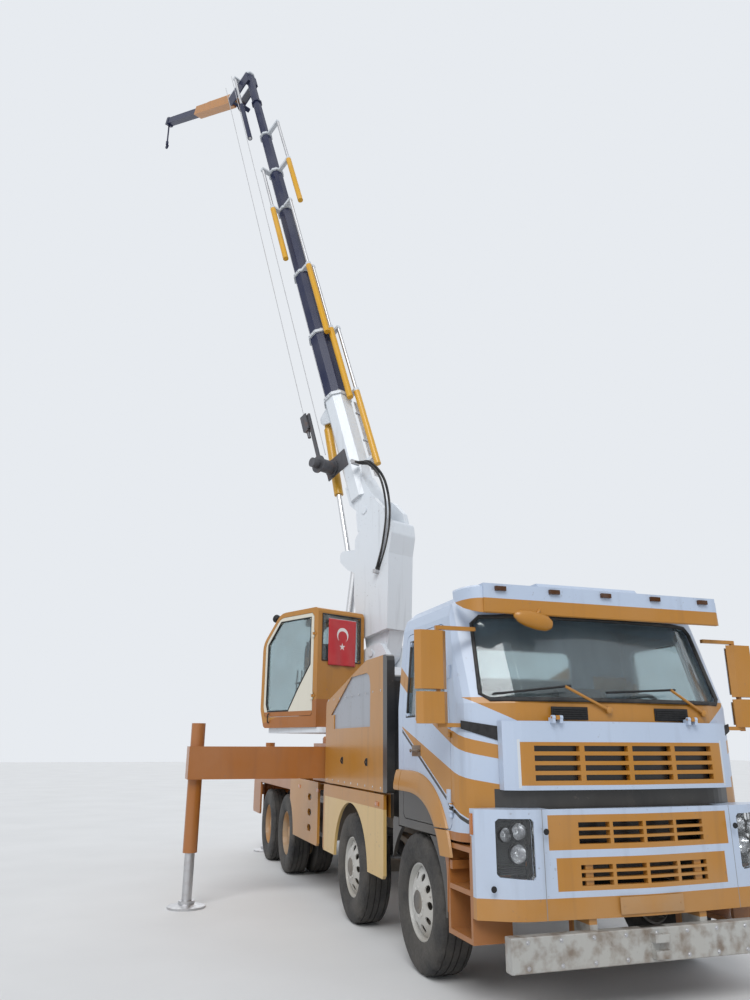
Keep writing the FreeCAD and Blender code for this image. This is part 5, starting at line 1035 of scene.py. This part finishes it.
def operator_parts():
    """Glass, gaskets, handle and lamps of the operator's cab."""
    screen = [(1.345, 2.09), (1.408, 2.22), (1.408, 3.09), (1.385, 3.19), (1.30, 3.285), (1.10, 3.485), (0.99, 3.565),
              (0.94, 3.575)]
    panes = Form()
    for (r0, z0), (r1, z1) in zip(screen, screen[1:]):
        panes.plate([(r0, 0.375, z0), (r0, 1.095, z0), (r1, 1.095, z1), (r1, 0.375, z1)], 0.006)
    rear = [(0.125, 0.38, 2.85), (0.125, 1.09, 2.85), (0.125, 1.09, 3.50), (0.125, 0.38, 3.50)]
    panes.plate(rear, 0.006)
    side = [(0.23, 0.318, 2.51), (0.23, 0.318, 3.48), (0.99, 0.318, 3.48), (1.33, 0.318, 3.16), (1.33, 0.318, 2.51)]
    panes.plate(side, 0.006)
    panes.make("operator_glass", CRANE, "turntable", FINISHES["glass"], "cab_glass")
    seals = Form()
    seals.tube([Vector(p) - Vector((0.018, 0, 0)) for p in rear], 0.012, 8, closed=True)
    seals.tube([Vector(p) - Vector((0, 0.020, 0)) for p in side], 0.012, 8, closed=True)
    for l in (0.372, 1.098):
        seals.tube([(r + 0.006, l, z + 0.004) for r, z in screen], 0.011, 8)
    seals.make("operator_gaskets", CRANE, "turntable", FINISHES["gasket"], "interior_grey")
    window = [(0.27, 2.80), (0.54, 2.47), (0.75, 2.18), (1.24, 2.18), (1.28, 2.28), (1.28, 3.14), (0.98, 3.455), (0.27, 3.455)]
    pane = Form()
    pane.plate([(r, 1.148, z) for r, z in window], 0.006)
    pane.make("operator_door_glass", CRANE, "operator_door", FINISHES["glass"], "cab_glass")
    trim = Form()
    trim.tube([(r, 1.166, z) for r, z in window], 0.012, 8, closed=True)
    trim.tube(smooth_path([(1.20, 1.170, 2.02), (1.20, 1.195, 2.04), (1.20, 1.195, 2.13), (1.20, 1.170, 2.15)]), 0.008)
    trim.make("operator_door_trim", CRANE, "operator_door", FINISHES["black"], "interior_grey")
    lamps_form = Form()
    for l in (0.42, 1.05):
        place = Matrix.Translation((1.26, l, 3.55)) @ Matrix.Rotation(math.radians(70), 4, "Y")
        lamps_form.lathe([(0, -0.05), (0.045, -0.04), (0.062, 0.0), (0.062, 0.03), (0.055, 0.034), (0, 0.026)], 28, place)
    for z in (2.50, 2.62):
        lamps_form.block((0.45, 0.60, z - 0.05), (0.95, 0.90, z - 0.02), 0.01)
    for l in (0.66, 0.74, 0.82):
        lamps_form.tube([(1.02, l, 2.50), (1.00, l, 2.78)], 0.010, 10)
    lamps_form.make("operator_fittings", CRANE, "turntable", FINISHES["black"], "interior_grey")


operator_parts()


def flag():
    """A red flag hung from the roof's edge over the operator's rear window."""
    rows, columns = 36, 26
    width, height, top = 0.53, 0.65, 3.44
    part = bmesh.new()
    grid = []
    for i in range(rows + 1):
        down = i / rows
        line = []
        for k in range(columns + 1):
            across = k / columns
            ripple = 0.008 * math.sin(across * 13 + down * 1.5) * (0.25 + down)
            narrow = 0.985 - 0.03 * down
            place = (0.088 + ripple, 0.735 + (across - 0.5) * width * narrow, top - down * height)
            line.append(part.verts.new(place))
        grid.append(line)
    for i in range(rows):
        for k in range(columns):
            part.faces.new((grid[i][k], grid[i][k + 1], grid[i + 1][k + 1], grid[i + 1][k]))
    form = Form()
    form.add(part)
    piece = form.make("flag", CRANE, "turntable", cloth_red(), "deck_orange")
    thick = piece.modifiers.new("thickness", "SOLIDIFY")
    thick.thickness = 0.0008
    hem = Form()
    cord_z = top + 0.003
    hem.tube([(0.092, 0.48, cord_z), (0.092, 0.99, cord_z)], 0.005, 8)
    for l in (0.49, 0.98):
        hem.tube([(0.092, l, cord_z), (0.105, l, cord_z + 0.012)], 0.004, 8)
    rail = hem.make("flag_cord", CRANE, "turntable", FINISHES["steel"], "rod_steel")


flag()


def crane_parts():
    """Ring bolts, pipes, hoses over the knuckle with their brackets, ropes along the boom and collar bolts."""
    bolts = Form()
    for k in range(28):
        angle = 2 * math.pi * k / 28
        bolts.bolt((0.598 * math.cos(angle), 0.598 * math.sin(angle), 1.83), (0, 0, 1), 0.013, 0.012)
    bolts.make("ring_bolts", CRANE, "truck", FINISHES["steel"], "rod_steel")
    for k, (head, half) in enumerate(zip(HEADS, HALVES)):
        collar = Form()
        for sign in (1, -1):
            for w in (-0.3, 0.0, 0.35):
                collar.bolt((head - 0.03, sign * (half + 0.026), BOOM_AXIS + w * half), (0, sign, 0), 0.010, 0.008)
            collar.block((head + 0.0005, sign * half * 0.62 - 0.02, BOOM_AXIS + half * 0.86),
                         (head + 0.018, sign * half * 0.62 + 0.02, BOOM_AXIS + half * 1.06), 0.003)
        body = "boom_2" if k == 0 else f"section_{k}"
        collar.make(f"collar_bolts_{k}", BOOM, body, FINISHES["steel"], "rod_steel")
    pipes = Form()
    for k in range(4):
        l = 0.165 + 0.028 * k
        pipes.tube([(0.75, -l, BOOM_AXIS + 0.225), (2.36, -l, BOOM_AXIS + 0.225)], 0.009, 10)
    for u in (0.9, 1.5, 2.1):
        pipes.block((u - 0.02, -0.27, BOOM_AXIS + 0.205), (u + 0.02, -0.14, BOOM_AXIS + 0.242), 0.004)
    pipes.make("boom_pipes", BOOM, "boom_2", FINISHES["steel"], "rod_steel")
    for k in range(5):
        l = 0.205 + 0.026 * k
        swell = 0.03 * (k % 3)
        path = smooth_path([(-0.15, l, 4.20), (-0.27 - swell, l, 4.62), (-0.36 - swell, l + 0.02, 5.12),
                            (-0.24 - swell, l + 0.02, 5.62), (0.04, l, 5.93 + swell), (0.32, l, 6.05)], 10)
        hose = Form()
        hose.tube(path, 0.014, 10)
        for end, next_point in ((path[0], path[1]), (path[-1], path[-2])):
            turn = (next_point - end).to_track_quat("Z", "Y").to_matrix().to_4x4()
            hose.lathe([(0, -0.02), (0.018, -0.02), (0.018, 0.05), (0.014, 0.055)], 16, Matrix.Translation(end) @ turn)
        piece = hose.make(f"knuckle_hose_{k + 1}", CRANE, None, FINISHES["hose"], "tyre")
        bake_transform(piece)
    brackets = Form()
    brackets.block((-0.17, 0.15, 4.16), (-0.11, 0.34, 4.22), 0.006)
    brackets.make("hose_bracket_1", CRANE, "boom_1", FINISHES["steel"], "rod_steel")
    brackets = Form()
    brackets.block((0.84, 0.18, 0.06), (0.92, 0.34, 0.10), 0.006)
    brackets.make("hose_bracket_2", BOOM, "boom_2", FINISHES["steel"], "rod_steel")
    for k, head in enumerate(HEADS):
        start = (1.30, 2.42)[0] if k == 0 else HEADS[k - 1]
        rope = Form()
        end = head if k < 6 else 13.10
        rope.tube([(start, 0.425, -0.36), (end, 0.425, -0.36)], 0.007, 8)
        rope.tube([(max(start, 2.30), 0.385, -0.682), (end, 0.385, -0.682)], 0.007, 8)
        body = "boom_2" if k == 0 else f"section_{k}"
        rope.make(f"rope_run_{k}", BOOM, body, FINISHES["steel"], "rod_steel")


crane_parts()


def light(name, direction, strength, angle):
    data = bpy.data.lights.new(name, "SUN")
    data.energy = strength
    data.angle = math.radians(angle)
    lamp = bpy.data.objects.new(name, data)
    lamp.rotation_euler = Vector(direction).to_track_quat("-Z", "Y").to_euler()
    bpy.context.scene.collection.objects.link(lamp)


def studio():
    """Pale floor, even sky, three soft lamps and the camera where the photograph was taken."""
    floor = Form()
    floor.block((-70, -70, -0.2), (70, 70, 0), 0.0)
    floor.make("floor", Matrix.Identity(4), None, floor_finish(), None)
    light("key", (-0.75, 0.42, -0.80), 1.5, 30)
    light("fill", (-0.55, 0.80, -0.25), 0.35, 60)
    light("rim", (0.8, -0.3, -0.6), 0.4, 50)
    world = bpy.data.worlds.new("studio")
    world.use_nodes = True
    tree = world.node_tree
    background = tree.nodes["Background"]
    background.inputs["Strength"].default_value = 1.0
    path = tree.nodes.new("ShaderNodeLightPath")
    seen = tree.nodes.new("ShaderNodeMath")
    seen.operation = "MAXIMUM"
    tree.links.new(path.outputs["Is Camera Ray"], seen.inputs[0])
    tree.links.new(path.outputs["Is Glossy Ray"], seen.inputs[1])
    also = tree.nodes.new("ShaderNodeMath")
    also.operation = "MAXIMUM"
    tree.links.new(seen.outputs[0], also.inputs[0])
    tree.links.new(path.outputs["Is Transmission Ray"], also.inputs[1])
    mix = tree.nodes.new("ShaderNodeMix")
    mix.data_type = "RGBA"
    mix.inputs[6].default_value = (0.52, 0.55, 0.60, 1)
    mix.inputs[7].default_value = (0.80, 0.83, 0.87, 1)
    tree.links.new(also.outputs[0], mix.inputs[0])
    tree.links.new(mix.outputs[2], background.inputs["Color"])
    bpy.context.scene.world = world
    data = bpy.data.cameras.new("camera")
    data.lens = 27.71
    data.sensor_width = 36
    data.clip_end = 300
    camera = bpy.data.objects.new("camera", data)
    heading, pitch, roll = math.radians(162.01 - 90), math.radians(90 + 17.6), math.radians(0.22)
    turn = Matrix.Rotation(heading, 4, "Z") @ Matrix.Rotation(pitch, 4, "X") @ Matrix.Rotation(roll, 4, "Z")
    camera.matrix_world = Matrix.Translation((12.179, -3.196, 1.732)) @ turn
    bpy.context.scene.collection.objects.link(camera)
    bpy.context.scene.camera = camera
    bpy.context.scene.view_settings.view_transform = "Standard"


studio()
